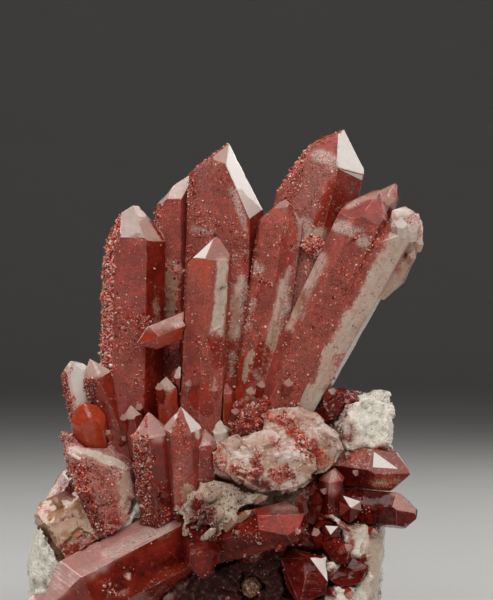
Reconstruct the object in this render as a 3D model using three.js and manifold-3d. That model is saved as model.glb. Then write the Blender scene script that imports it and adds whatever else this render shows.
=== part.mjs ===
// Hematoid quartz in matrix: a group of red, iron-stained quartz crystals on the rock they grew from.
// Millimetres. +Z is up, -Y is the front. The rock is sawn flat underneath, at z = 0.
import * as THREE from 'three';
import { ConvexHull } from 'three/addons/math/ConvexHull.js';
import Module from 'manifold-3d';

// ---- driving dimensions
const GAP = 0.3; // clearance left where two separate pieces meet
const TIP_ANGLE = 38.2; // a quartz tip face, from the normal of the prism face below it
const SMALLEST_SHARE = 0.5; // a piece that a neighbour cuts in two keeps its larger part

// A crystal is a six-sided prism from foot to tip that ends in six tip faces.
//   r      distance from the axis to a prism face, at half length
//   roll   turn of the prism about its axis, in degrees; at 0 a face looks to the front
//   taper  how much each face leans in towards the tip, in degrees
//   side   each prism face's distance as a share of r, since no real prism is regular
//   rise   how far above the tip each tip face would meet the axis, as a share of r: a higher face is smaller
//   slope  angles of the tip faces where they differ from TIP_ANGLE
//   facets further flat faces, as [normal x, y, z, distance]
// A block is the convex solid on a list of corners.
// The order of the list is the order in which pieces claim space: a later piece is cut back from every earlier one.
const PIECES = [
  // The tall fan: parallel and fanned-out prisms grown into one another from a shared foot, the outermost one ending in a broken lump.
  { node: 'tall_fan', material: 'red_quartz', members: [
    { id: 'T2', foot: [-8.89, 4.95, 42.45], tip: [-8.66, 4.5, 104.62], r: 3.825, roll: -8, taper: 0, side: [1.106, 0.397, 0.291, 0.894, 1.603, 1.709], rise: [0, 0.3, 0.3, 0.1, 0, 0.5] },
    { id: 'T3', foot: [-2.05, 2.25, 38.1], tip: [0.67, 0.9, 111.66], r: 7.65, roll: 10, taper: 0.2, side: [1, 1, 1, 1, 1, 1], rise: [0.8, 0.8, 0.8, 0.3, 0.8, 0.8], facets: [[0.8448, -0.4181, 0.3338, 38.65], [0.3568, -0.6631, 0.658, 74.718], [-0.6096, -0.0885, 0.7878, 87.589], [0.8844, 0.0463, 0.4645, 52.645], [0, 0.5651, 0.825, 91.428]] },
    { id: 'T4', foot: [4.95, -4.05, 42.99], tip: [13.2, -4.95, 99.03], r: 4.838, roll: -24, taper: 0.2, side: [1, 1, 1, 1, 1, 1], rise: [0.1, 0.25, 0.2, 0.3, 0.2, 0.1], facets: [[-0.2227, -0.4977, 0.8383, 81.961]] },
    { id: 'T5', foot: [-4.82, -7.2, 43.18], tip: [-2.37, -8.1, 90.25], r: 4.612, roll: -36, taper: 0, side: [1.086, 0.94, 0.854, 0.914, 1.06, 1.146], rise: [0, 0, 0.3, 0.3, 0.2, 0], slope: [48, 42, 38.2, 38.2, 38.2, 41] },
    { id: 'T6', foot: [9.7, 3.15, 44.82], tip: [27.02, 0.45, 114.11], r: 6.975, roll: -18, taper: 0.4, side: [1.08, 0.887, 0.848, 0.92, 1.523, 1.552], rise: [0.3, -0.05, 0.06, 0.2, 0.6, 0.6], slope: [38.2, 38, 38.2, 38.2, 38.2, 38.2], facets: [[-0.8212, -0.0831, 0.5646, 46.892], [-0.4028, -0.2176, 0.889, 91.092]] },
    { id: 'T7', foot: [8.3, -4.5, 45.25], tip: [33.82, -7.2, 100.49], r: 6.075, roll: 14, taper: 0.4, side: [0.946, 0.786, 0.84, 1.054, 0.834, 1.02], rise: [0.1, 0.2, 0.2, 0.2, 0.2, 0] },
    { id: 'T7b', foot: [12.78, -3.38, 42.95], tip: [42.53, -6.53, 95.4], r: 5.4, roll: 19, taper: 0.4, side: [0.81, 0.427, 0.617, 1.19, 1.573, 1.383], rise: [0.1, 0.2, 0.2, 0.2, 0.2, 0] },
    { id: 'T7c', corners: [[37.21, -6.3, 96.52], [40.36, -2.25, 97.57], [42.03, -4.05, 96.38], [44.36, -2.7, 93.97], [44.23, -4.5, 89.89], [41.66, -6.3, 84.95], [38.99, -6.3, 80.28], [35.48, -5.4, 76.5], [32.74, -6.75, 77.39], [37.1, -8.1, 92.02], [39.6, 3.6, 95.75], [43.64, 3.15, 93.24], [40.64, 2.25, 80.57], [35.04, 3.15, 77.41]] },
    { id: 'T8', foot: [23.81, 5.4, 69.69], tip: [38.48, 0, 102.38], r: 3.825, roll: 10, taper: 0.4, side: [0.939, 0.488, 0.53, 1.061, 1.332, 1.27], rise: [0, 0, 0.2, 0.2, 0.2, 0.1], facets: [[0.9658, -0.2368, 0.1054, 48.053]] },
  ] },
  // The thick upright prism at the left of the fan, standing free of it.
  { node: 'left_tower', material: 'red_quartz', members: [
    { id: 'T1', foot: [-20.88, -0.9, 37.19], tip: [-19.74, -1.35, 98.5], r: 5.737, roll: -3.4, taper: 0.3, side: [1.098, 1.026, 1.028, 1.002, 1.094, 1.172], rise: [-0.02, -0.25, 0.1, 0.3, 0, 0.5], facets: [[-0.8833, -0.3647, 0.2944, 49.847], [0, -0.1428, 0.9898, 97.3]] },
  ] },
  // The long prism lying across the foot of the group and pointing down to the front left.
  { node: 'long_crossing_point', material: 'red_quartz', members: [
    { id: 'C1', foot: [-4.42, -4.95, 24.98], tip: [-39.15, -24.75, 8.53], r: 7.763, roll: -2, taper: 0.3, side: [1, 1, 1, 1, 1, 1], rise: [0.1, 0.1, 0.2, 0.1, 0.3, 0] },
  ] },
  // Upright points in a row before the fan, joined at their flanks.
  { node: 'front_spears', material: 'red_quartz', members: [
    { id: 'K1', foot: [-14.24, -11.25, 25.79], tip: [-16.74, -14.85, 51.53], r: 3.712, roll: -32, taper: 0.4, side: [1, 1, 1, 1, 1, 1], rise: [0, 0, 0.2, 0.3, 0.2, 0.1] },
    { id: 'K2', foot: [-8.27, -11.7, 30.23], tip: [-9.48, -16.2, 52.68], r: 3.825, roll: -4, taper: 0.4, side: [1, 1, 1, 1, 1, 1], rise: [0, 0.05, 0.2, 0.3, 0.2, 0.1] },
    { id: 'K3', foot: [-4.09, -11.25, 31.3], tip: [-4.27, -13.95, 47.98], r: 2.925, roll: 8, taper: 0.4, side: [1, 1, 1, 1, 1, 1], rise: [0.2, 0, 0.2, 0.3, 0.2, 0.1] },
    { id: 'K3b', foot: [-0.14, -9, 36.65], tip: [-1.23, -10.8, 50.24], r: 2.25, roll: 0, taper: 0.4, side: [1, 1, 1, 1, 1, 1], rise: [0, 0.15, 0, 0.15, 0, 0.15] },
  ] },
  // Two stubby rounded crystals, milky on top, grown into one another.
  { node: 'pale_lumps', material: 'pale_quartz', members: [
    { id: 'K4a', corners: [[8.24, -13.05, 51.88], [10.47, -9.9, 53.73], [16.66, -9.9, 53.29], [20.63, -10.35, 51.32], [25.45, -11.25, 46.29], [26.34, -11.25, 43.42], [24.96, -12.6, 40.43], [22.06, -13.95, 38.76], [16.49, -18, 39.47], [9.96, -17.55, 43.8], [8.23, -15.75, 47.63], [14.37, -14.85, 51.31], [20.94, -14.85, 46.27], [10.15, 2.25, 44.87], [23.7, 2.25, 43.74], [21.38, 0, 37.12]] },
    { id: 'K4b', corners: [[-2.72, -14.85, 45.61], [3.41, -13.95, 47.1], [9.54, -15.75, 48.51], [15.64, -17.1, 45.08], [19.54, -18, 42.74], [20.4, -18.45, 39.94], [17.76, -19.35, 36.74], [14.27, -20.25, 35.07], [8.19, -21.15, 34.92], [2.56, -20.7, 37.92], [-2.24, -18.45, 40.38], [-2.83, -6.75, 36.49], [16.73, -6.75, 34.26], [8.2, -20.7, 43.99]] },
  ] },
  // Thick prism lying low at the front, pointing right.
  { node: 'low_bar', material: 'red_quartz', members: [
    { id: 'K7', foot: [-7.62, -11.25, 21.82], tip: [18.73, -23.85, 29.75], r: 4.838, roll: 24, taper: 0.4, side: [1, 1, 1, 1, 1, 1], rise: [0.3, 0.25, 0.1, 0, 0.1, 0.1], slope: [38, 42, 38, 38, 38, 24], facets: [[0.9407, -0.3078, -0.1426, 19.089], [-0.0747, -0.4738, 0.8775, 36.489]] },
  ] },
  // Short prism that points down between the two lying prisms.
  { node: 'hanging_point', material: 'red_quartz', members: [
    { id: 'K6', foot: [-6.02, -13.95, 29.98], tip: [-4.11, -23.4, 16.77], r: 3.6, roll: 8, taper: 0.4, side: [1, 1, 1, 1, 1, 1], rise: [0.1, 0.5, 0.3, 0.2, 0.2, 0] },
  ] },
  // Upper of the two points that stick out to the right.
  { node: 'right_upper_point', material: 'red_quartz', members: [
    { id: 'R3', foot: [22.43, -2.25, 40.2], tip: [41.2, -9.9, 38.04], r: 4.388, roll: 30, taper: 0.4, side: [1, 1, 1, 1, 1, 1], rise: [0, 0, 0, 0, 0, 0], slope: [33, 46, 38, 38, 46, 27] },
  ] },
  // Lower of the two points that stick out to the right.
  { node: 'right_lower_point', material: 'red_quartz', members: [
    { id: 'R4', foot: [22.36, -4.5, 30.74], tip: [42.65, -11.25, 29.75], r: 3.712, roll: 16, taper: 0.4, side: [1, 1, 1, 1, 1, 1], rise: [0.2, 0.52, 0.2, 0.3, 0.1, 0], facets: [[0.9572, -0.263, 0.1209, 46.997]] },
  ] },
  // Three short crystals at the left foot of the fan.
  { node: 'left_trio', material: 'red_quartz', members: [
    { id: 'L1', foot: [-31.13, -2.25, 46.92], tip: [-33.63, -4.95, 62.9], r: 2.925, roll: 0, taper: -2, side: [1, 1, 1, 1, 1, 1], rise: [2, 0.75, 0.3, 0.05, 0.3, 0.85], facets: [[0.1951, -0.1019, 0.9755, 55.252], [-0.6945, -0.377, 0.6128, 64.91]] },
    { id: 'L2', foot: [-21.68, -3.15, 42.49], tip: [-29.92, -7.2, 62.95], r: 3.15, roll: -22, taper: 0.4, side: [1, 1, 1, 1, 1, 1], rise: [0, 0.1, 0.2, 0.3, 0.2, 0.1] },
    { id: 'L3', foot: [-29.03, -3.6, 41.85], tip: [-31.05, -10.35, 53.75], r: 3.825, roll: 20, taper: 0.4, side: [1, 1, 1, 1, 1, 1], rise: [0.6, 0.2, 0.35, 0.3, 0.35, 0.2] },
  ] },
  // Two big broken blocks of crystal on the left flank.
  { node: 'left_block', material: 'red_quartz', members: [
    { id: 'L4', corners: [[-35.86, -8.1, 47.23], [-26.69, -5.4, 45.75], [-21.17, -4.5, 43.24], [-19.54, -5.85, 40.43], [-34.77, -13.95, 43.15], [-29.45, -14.85, 41.23], [-23.33, -14.4, 39.01], [-20.57, -12.6, 39.11], [-33.33, -15.75, 37.13], [-27.59, -16.65, 24.54], [-23.22, -16.65, 26.06], [-19.91, -12.6, 29.87], [-20.72, -4.5, 36.32], [-34.72, -2.25, 38.4], [-28.12, 0, 27], [-35.84, -11.25, 44.31]] },
    { id: 'L5', corners: [[-41.69, -9.9, 29.42], [-39.44, -7.65, 33.89], [-36.69, -5.85, 37.53], [-34.97, -4.95, 39.48], [-31.73, -13.5, 33.02], [-27.37, -16.65, 23.88], [-34.54, -17.1, 19.34], [-39.08, -14.85, 26.77], [-42.03, -5.85, 27.51], [-30.23, -2.25, 22.72], [-37.29, 2.25, 33.58], [-36.34, -4.5, 18.02]] },
  ] },
  // Small crystal lying against the fan, half way up.
  { node: 'side_twig', material: 'red_quartz', members: [
    { id: 'M1', foot: [-7.72, -6.75, 71.61], tip: [-18.85, -11.7, 67.03], r: 2.7, roll: 25, taper: 0.4, side: [1, 1, 1, 1, 1, 1], rise: [0, 0.2, 0.3, 0.3, 0.2, 0.1] },
  ] },
  // Small points round the foot of the fan.
  { node: 'foot_point_a', material: 'red_quartz', members: [
    { id: 'M3', foot: [-12.36, -7.65, 47.2], tip: [-12.96, -9.9, 59.7], r: 2.25, roll: -20, taper: 0.4, side: [1, 1, 1, 1, 1, 1], rise: [0, 0.15, 0, 0.15, 0, 0.15] },
  ] },
  // Second small point.
  { node: 'foot_point_b', material: 'red_quartz', members: [
    { id: 'M2', foot: [-8.39, -6.75, 51.6], tip: [-10.12, -8.55, 61.88], r: 1.8, roll: -10, taper: 0.4, side: [1, 1, 1, 1, 1, 1], rise: [0, 0.15, 0, 0.15, 0, 0.15] },
  ] },
  // Third small point.
  { node: 'foot_point_c', material: 'red_quartz', members: [
    { id: 'M4', foot: [0.29, -7.65, 47.2], tip: [0.3, -9, 58.12], r: 1.688, roll: 10, taper: 0.4, side: [1, 1, 1, 1, 1, 1], rise: [0, 0.15, 0, 0.15, 0, 0.15] },
  ] },
  // Fourth small point.
  { node: 'foot_point_d', material: 'red_quartz', members: [
    { id: 'M5', foot: [-19.02, -7.65, 42.1], tip: [-20.67, -10.35, 53.31], r: 2.025, roll: -20, taper: 0.4, side: [1, 1, 1, 1, 1, 1], rise: [0, 0.15, 0, 0.15, 0, 0.15] },
  ] },
  // Two upright stubs below the points on the right.
  { node: 'right_stub_pair', material: 'red_quartz', members: [
    { id: 'R5b', foot: [23.35, -8.1, 27.71], tip: [23.69, -11.25, 39.9], r: 2.7, roll: 20, taper: 0.4, side: [1, 1, 1, 1, 1, 1], rise: [0.2, 0.2, 0.2, 0.2, 0.2, 0.2] },
    { id: 'R5', corners: [[26.03, -13.5, 33.68], [30, -13.05, 32.32], [27.72, -15.08, 30.95], [25.17, -13.05, 32.1], [25.4, -12.6, 28.99], [27.57, -13.5, 27.31], [30.26, -12.15, 30.05], [25.93, -4.5, 32.31], [30.17, -4.5, 31.86], [27.94, -4.5, 26.5]] },
  ] },
  // Tiny point on the right front.
  { node: 'right_tiny_point', material: 'red_quartz', members: [
    { id: 'R5c', corners: [[21.96, -17.32, 27.43], [25.03, -16.88, 27.18], [23.21, -18.9, 25.4], [21.1, -16.65, 26.06], [21.74, -17.1, 23.71], [23.69, -17.55, 22.88], [25.49, -16.2, 24.27], [21.53, -9.9, 26.54], [25.5, -9.9, 26.1], [23.74, -9.9, 22.12]] },
  ] },
  // Dark point on the right front, leaning down.
  { node: 'right_dark_point', material: 'red_quartz', members: [
    { id: 'R7', foot: [21.49, -11.25, 25.79], tip: [26.35, -22.05, 19.43], r: 2.475, roll: 10, taper: 0.4, side: [1, 1, 1, 1, 1, 1], rise: [0, 0.15, 0, 0.15, 0, 0.15] },
  ] },
  // Flat bar along the top of the pale shelf on the right, and the stub beside it.
  { node: 'shelf_bar', material: 'red_quartz', members: [
    { id: 'R2', foot: [16.88, 0, 47.25], tip: [26.7, -7.65, 55.42], r: 3.15, roll: 10, taper: 0.4, side: [1, 1, 1, 1, 1, 1], rise: [0, 0.15, 0, 0.15, 0, 0.15] },
    { id: 'R1b', corners: [[22.29, -6.75, 56.94], [23.7, 2.25, 56.85], [31.15, 2.25, 55.94], [30.27, -7.2, 54.07], [23.8, -8.1, 54.99], [23.4, -6.75, 51.6], [23.78, 4.5, 51.1], [30.58, 4.5, 51.1]] },
  ] },
  // Blocky crystal low on the right.
  { node: 'corner_stub', material: 'red_quartz', members: [
    { id: 'R8', corners: [[24.08, -18.9, 17.79], [27.38, -18, 20.74], [31.47, -18.9, 18.44], [29.69, -19.8, 15.07], [25.1, -20.7, 14.08], [22.93, -20.7, 15.82], [24.59, -4.5, 18.47], [31.29, -4.5, 16.24], [26.82, -4.5, 11.77]] },
  ] },
  // Wedge-shaped crystal low on the right front.
  { node: 'corner_wedge', material: 'red_quartz', members: [
    { id: 'R9', corners: [[12.12, -18.9, 20.4], [14.31, -18, 22.49], [18.58, -21.6, 20.68], [22.3, -20.25, 20.76], [22.44, -22.5, 15.59], [21.77, -23.4, 13.1], [16.36, -23.85, 11], [13.84, -20.25, 13.6], [16.78, -4.5, 20.7], [23.47, -4.5, 11.77], [13.43, -4.5, 11.77]] },
  ] },
  // Small nub in the recess under the lying prisms.
  { node: 'recess_nub', material: 'pale_quartz', members: [
    { id: 'K8', foot: [6.07, -4.5, 17.35], tip: [5.82, -14.85, 11.88], r: 2.138, roll: 10, taper: 0.4, side: [1, 1, 1, 1, 1, 1], rise: [0.5, 0.5, 0.5, 0.5, 0.5, 0.5] },
  ] },
  // Low point at the left front corner, under the long crossing prism.
  { node: 'left_low_point', material: 'red_quartz', members: [
    { id: 'L7', foot: [-31.88, -11.25, 7.7], tip: [-44.78, -14.85, 9.47], r: 2.7, roll: 0, taper: 0.4, side: [1, 1, 1, 1, 1, 1], rise: [0.2, 0.2, 0.2, 0.2, 0.2, 0.2] },
  ] },
  // Points that lean out behind the fan: left of the pair.
  { node: 'back_point_a', material: 'red_quartz', members: [
    { id: 'B1', foot: [-17.22, 9, 34.21], tip: [-14.64, 20.7, 69.5], r: 4.275, roll: 5, taper: 0.4, side: [1, 1, 1, 1, 1, 1], rise: [0, 0.2, 0.1, 0, 0.2, 0.1] },
  ] },
  // Tallest point at the back.
  { node: 'back_point_b', material: 'red_quartz', members: [
    { id: 'B2', foot: [3.35, 11.25, 34.04], tip: [8.44, 18.9, 78.83], r: 5.175, roll: 20, taper: 0.4, side: [1, 1, 1, 1, 1, 1], rise: [0.2, 0.2, 0.1, 0, 0.1, 0.2] },
  ] },
  // Slender point beside it.
  { node: 'back_point_m', material: 'red_quartz', members: [
    { id: 'B10', foot: [-8.1, 10.12, 35.27], tip: [-4.52, 14.85, 74.65], r: 3.6, roll: 0, taper: 0.4, side: [1, 1, 1, 1, 1, 1], rise: [0.2, 0.2, 0.1, 0, 0.1, 0.2] },
  ] },
  // Back, right.
  { node: 'back_point_c', material: 'red_quartz', members: [
    { id: 'B3', foot: [16.15, 9, 35.35], tip: [21.93, 18.9, 64.41], r: 3.6, roll: 10, taper: 0.4, side: [1, 1, 1, 1, 1, 1], rise: [0, 0.15, 0, 0.15, 0, 0.15] },
  ] },
  // Back, centre, lower.
  { node: 'back_point_d', material: 'red_quartz', members: [
    { id: 'B4', foot: [-5.92, 15.75, 25.61], tip: [-9.02, 29.7, 52.34], r: 4.05, roll: -10, taper: 0.4, side: [1, 1, 1, 1, 1, 1], rise: [0, 0.2, 0.2, 0, 0.1, 0.2] },
  ] },
  // Back, right, lower.
  { node: 'back_point_e', material: 'red_quartz', members: [
    { id: 'B5', foot: [12.59, 15.75, 25.61], tip: [18.96, 31.05, 46.82], r: 3.825, roll: 15, taper: 0.4, side: [1, 1, 1, 1, 1, 1], rise: [0, 0.15, 0, 0.15, 0, 0.15] },
  ] },
  // Back, left.
  { node: 'back_point_f', material: 'red_quartz', members: [
    { id: 'B6', foot: [-23.05, 11.25, 28.3], tip: [-29.51, 23.62, 49.54], r: 3.375, roll: 0, taper: 0.4, side: [1, 1, 1, 1, 1, 1], rise: [0.2, 0.2, 0.2, 0.1, 0, 0.2] },
  ] },
  // Back, far right.
  { node: 'back_point_g', material: 'red_quartz', members: [
    { id: 'B7', foot: [25.19, 12.38, 25.91], tip: [32.93, 25.2, 40.06], r: 3.375, roll: 20, taper: 0.4, side: [1, 1, 1, 1, 1, 1], rise: [0, 0.15, 0, 0.15, 0, 0.15] },
  ] },
  // Back, near the base.
  { node: 'back_point_h', material: 'red_quartz', members: [
    { id: 'B8', foot: [-0.17, 20.25, 12.4], tip: [-1.03, 36.45, 14.21], r: 4.05, roll: 10, taper: 0.4, side: [1, 1, 1, 1, 1, 1], rise: [0.2, 0.2, 0.1, 0, 0.1, 0.2] },
  ] },
  // Back, left, near the base.
  { node: 'back_point_i', material: 'red_quartz', members: [
    { id: 'B9', foot: [-26.86, 18, 13.81], tip: [-38.83, 29.25, 18.51], r: 3.6, roll: 10, taper: 0.4, side: [1, 1, 1, 1, 1, 1], rise: [0, 0.15, 0, 0.15, 0, 0.15] },
  ] },
  // Back, centre, leaning out.
  { node: 'back_point_j', material: 'red_quartz', members: [
    { id: 'B11', foot: [4.72, 18, 23.09], tip: [4.24, 32.85, 43.16], r: 3.375, roll: 25, taper: 0.4, side: [1, 1, 1, 1, 1, 1], rise: [0.2, 0.2, 0.1, 0, 0.1, 0.2] },
  ] },
  // Back, left of centre, leaning out.
  { node: 'back_point_k', material: 'red_quartz', members: [
    { id: 'B12', foot: [-15.33, 20.25, 19.39], tip: [-21.04, 33.75, 33.57], r: 3.6, roll: 0, taper: 0.4, side: [1, 1, 1, 1, 1, 1], rise: [0.2, 0.2, 0.1, 0, 0.1, 0.2] },
  ] },
  // Back, right, low.
  { node: 'back_point_l', material: 'red_quartz', members: [
    { id: 'B13', foot: [19.64, 20.25, 15.89], tip: [25.69, 33.3, 25.98], r: 3.825, roll: 10, taper: 0.4, side: [1, 1, 1, 1, 1, 1], rise: [0, 0.15, 0, 0.15, 0, 0.15] },
  ] },
  // Left side.
  { node: 'side_point_left', material: 'red_quartz', members: [
    { id: 'S1', foot: [-27.38, 6.75, 26.41], tip: [-35.52, 15.75, 40.65], r: 2.925, roll: 10, taper: 0.4, side: [1, 1, 1, 1, 1, 1], rise: [0.2, 0.2, 0.1, 0, 0.1, 0.2] },
  ] },
  // Right side.
  { node: 'side_point_right', material: 'red_quartz', members: [
    { id: 'S2', foot: [22.92, 13.5, 23.51], tip: [37.33, 19.8, 32.94], r: 2.925, roll: 10, taper: 0.4, side: [1, 1, 1, 1, 1, 1], rise: [0.2, 0.2, 0.1, 0, 0.1, 0.2] },
  ] },
  // Knot of fine crystals at the foot of the fan, taken as one lump.
  { node: 'drusy_knot', material: 'pale_quartz', members: [
    { id: 'X7', corners: [[1.64, -11.7, 54.03], [3.4, -11.25, 55.33], [6.93, -10.8, 56.64], [9.13, -12.15, 54.93], [9.56, -13.5, 51.9], [8.23, -14.85, 49.12], [3.41, -14.85, 48.02], [0.77, -13.5, 50.15], [1.63, -9.9, 43.34], [8.26, -9.9, 43.34], [3.39, -6.75, 52.05], [8.28, -6.75, 54.27]] },
  ] },
  // The massive milky rock the crystals grow from, as overlapping lumps. It is sawn flat at z = 0.
  { node: 'matrix', material: 'matrix_rock', members: [
    { id: 'X1', corners: [[30.62, -4.5, 56.19], [36.05, -3.15, 55.47], [35.95, -4.95, 54.64], [35.4, -6.75, 52.94], [37.23, -5.85, 50], [36.74, -6.75, 45.82], [26.61, -9.9, 43.79], [24.59, -10.8, 48.91], [26.66, -8.55, 54.34], [30.45, -8.1, 54.77], [23.93, 9, 55.01], [36.22, 8.1, 54.36], [37.74, 10.8, 48.98], [37.44, 13.5, 44.24], [25.23, 13.5, 42.4]] },
    { id: 'X2', corners: [[35.65, -6.3, 46.69], [37.21, -6.3, 45.13], [37.9, -5.85, 43.77], [37.23, -5.85, 41.99], [26.65, -9, 41.08], [26.65, -9, 47.72], [35.65, -6.3, 48.02], [37.93, 13.95, 40.76], [26.4, 13.95, 40.76], [28.5, 9, 17.06], [34.79, 15.75, 20.99]] },
    { id: 'X3', corners: [[26.54, -11.7, 29.13], [30.39, -9.45, 31.59], [35.33, -8.1, 26.16], [34.84, -9, 21.15], [34.13, -9.9, 18.59], [31.58, -12.15, 16.18], [29.08, -13.95, 13.31], [23.08, -16.2, 26.24], [36.52, 13.5, 25.81], [36.3, 18, 17.29], [29.08, -13.95, 0], [32.85, -4.5, 0], [34.79, 15.75, 0], [16.59, -13.5, 0], [16.88, 0, 31.5], [17.26, 18, 25.42], [17.26, 18, 0]] },
    { id: 'X3b', corners: [[16.49, -18, 19.87], [29.02, -15.3, 13.02], [27.32, -19.35, 16.75], [22.93, -20.7, 20.15], [16.41, -21.6, 0], [25.07, -21.6, 0], [29.22, -15.75, 0], [16.88, 0, 18], [16.88, 0, 0], [28.12, 0, 11.25]] },
    { id: 'X4', corners: [[-41.29, -9.45, 27.39], [-42.47, -8.55, 24.43], [-43.66, -7.65, 18.8], [-43.62, -8.1, 15.52], [-42.54, -10.35, 12.89], [-35.95, -15.75, 13.08], [-34.98, -17.1, 19.34], [-38.24, -14.4, 26.07], [-25.02, -15.75, 24.01], [-25.02, -15.75, 13.08], [-41.91, 9, 24.84], [-45.04, 13.5, 15.44], [-41.77, -9, 0], [-44.31, 15.75, 0], [-35.75, -18.45, 0], [-22.67, -18.9, 0], [-24.54, 18, 0], [-26.86, 18, 25.42], [-24.31, 13.5, 21.2]] },
    { id: 'X5', corners: [[-23.28, -6.75, 42.71], [-14.31, -9, 43.29], [16.68, -9, 43.29], [23.4, -6.75, 42.04], [24, 11.25, 40.93], [5.64, 13.95, 43.07], [-17.38, 13.05, 41.97], [-26.37, 9, 37.64], [-34.68, 13.5, 30.42], [-34.56, -4.5, 27.4], [-33.99, -12.6, 23.71], [-25.06, -14.85, 19.54], [16.57, -14.4, 19.5], [27.57, -13.5, 23.8], [32.25, 15.75, 25.61], [29.06, 22.5, 20.34], [3.31, 25.2, 24.78], [-27.15, 23.4, 22.6], [-36.29, -11.25, 0], [-25.19, -12.6, 0], [16.61, -12.6, 0], [30.41, -9, 0], [31.81, 21.38, 0], [17.46, 27.45, 0], [-17.93, 27.45, 0], [-40.97, 20.25, 0]] },
    { id: 'X6', corners: [[-10.22, -13.05, 37.82], [-5.32, -16.2, 37.6], [1.68, -18, 37.3], [8.21, -19.35, 34.79], [8.64, -19.35, 33.05], [3.43, -19.8, 30.04], [-0.89, -21.82, 24.38], [-4.76, -23.18, 23.21], [-8.9, -21.6, 25.01], [-9.66, -17.55, 29.63], [-10.01, -4.5, 27.4], [7.85, -4.5, 31.86], [1.17, -6.75, 23.15]] },
  ] },
];

// ---- convex solids
const rad = (deg) => (deg * Math.PI) / 180;
const vec = (a) => new THREE.Vector3(a[0], a[1], a[2]);

// The bounding planes of a crystal, each { n, d } with the solid at n.p <= d.
function crystalPlanes(c, grow) {
  const foot = vec(c.foot), tip = vec(c.tip);
  const along = tip.clone().sub(foot);
  const length = along.length();
  along.normalize();
  const front = new THREE.Vector3(0, -1, 0);
  front.addScaledVector(along, -front.dot(along));
  if (front.length() < 0.15) {
    front.set(0, 0, 1);
    front.addScaledVector(along, -front.dot(along));
  }
  front.normalize();
  const across = along.clone().cross(front);
  const middle = foot.clone().addScaledVector(along, length / 2);
  const lean = rad(c.taper);
  const planes = [];
  for (let k = 0; k < 6; k++) {
    const a = rad(c.roll + 60 * k);
    const out = front.clone().multiplyScalar(Math.cos(a)).addScaledVector(across, Math.sin(a));
    const n = out.clone().multiplyScalar(Math.cos(lean)).addScaledVector(along, Math.sin(lean));
    planes.push({ n, d: n.dot(middle) + c.r * c.side[k] + grow });
    const s = rad(c.slope ? c.slope[k] : TIP_ANGLE);
    const m = out.clone().multiplyScalar(Math.cos(s)).addScaledVector(along, Math.sin(s));
    planes.push({ n: m, d: m.dot(tip.clone().addScaledVector(along, c.rise[k] * c.r)) + grow });
  }
  planes.push({ n: along.clone().negate(), d: -along.dot(foot) + grow });
  for (const [x, y, z, d] of c.facets || []) {
    const n = new THREE.Vector3(x, y, z);
    const l = n.length();
    planes.push({ n: n.divideScalar(l), d: d / l + grow });
  }
  return planes;
}

const wasm = await Module();
wasm.setup();

// The corners that a set of planes cuts out.
function cornersInside(planes) {
  const corners = [];
  for (let i = 0; i < planes.length; i++)
    for (let j = i + 1; j < planes.length; j++) {
      const line = planes[i].n.clone().cross(planes[j].n);
      if (line.length() < 1e-6) continue;
      for (let k = j + 1; k < planes.length; k++) {
        const det = line.dot(planes[k].n);
        if (Math.abs(det) < 1e-6) continue;
        const p = planes[j].n.clone().cross(planes[k].n).multiplyScalar(planes[i].d)
          .addScaledVector(planes[k].n.clone().cross(planes[i].n), planes[j].d)
          .addScaledVector(line, planes[k].d)
          .divideScalar(det);
        if (!planes.every((q) => q.n.dot(p) <= q.d + 1e-6)) continue;
        if (corners.some((q) => q.distanceTo(p) < 0.02)) continue;
        corners.push(p);
      }
    }
  return corners;
}

// The triangles round a set of corners, as lists of three corner numbers, facing out.
function skin(corners) {
  const hull = new ConvexHull().setFromPoints(corners);
  return hull.faces.map((face) => {
    const ring = [];
    let edge = face.edge;
    do {
      ring.push(corners.indexOf(edge.head().point));
      edge = edge.next;
    } while (edge !== face.edge);
    return { ring, n: face.normal.clone() };
  });
}

// A block's corners moved out so that every face moves out by about grow.
function movedOut(corners, grow) {
  if (grow === 0) return corners;
  const faces = skin(corners);
  return corners.map((p, i) => {
    const mine = faces.filter((f) => f.ring.includes(i)).map((f) => f.n);
    if (mine.length === 0) return p;
    const mean = mine.reduce((sum, n) => sum.add(n), new THREE.Vector3()).normalize();
    const least = Math.max(0.35, Math.min(...mine.map((n) => n.dot(mean))));
    return p.clone().addScaledVector(mean, grow / least);
  });
}

// The convex solid on a list of corners.
function solidOn(corners) {
  const used = new Map();
  const triangles = [];
  for (const { ring } of skin(corners)) {
    const order = ring.map((i) => {
      if (!used.has(i)) used.set(i, used.size);
      return used.get(i);
    });
    for (let i = 1; i + 1 < order.length; i++) triangles.push(order[0], order[i], order[i + 1]);
  }
  const vertProperties = new Float32Array(used.size * 3);
  for (const [i, at] of used) corners[i].toArray(vertProperties, at * 3);
  return new wasm.Manifold(new wasm.Mesh({ numProp: 3, vertProperties, triVerts: new Uint32Array(triangles) }));
}

const cornersOf = (c, grow) => (c.corners ? movedOut(c.corners.map(vec), grow) : cornersInside(crystalPlanes(c, grow)));

// Members that overlap become one solid.
const joined = (members, grow) => members
  .map((c) => solidOn(cornersOf(c, grow)))
  .reduce((sum, next) => sum.add(next));

// ---- the pieces
const MATERIALS = {
  red_quartz: { color: 0x9a4038, roughness: 0.25, transparent: true, opacity: 0.95 },
  pale_quartz: { color: 0xcdb3a0, roughness: 0.35, transparent: true, opacity: 0.95 },
  matrix_rock: { color: 0xb9a892, roughness: 0.8 },
};

const specimen = new THREE.Group();
specimen.name = 'hematoid_quartz_in_matrix';

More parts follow.
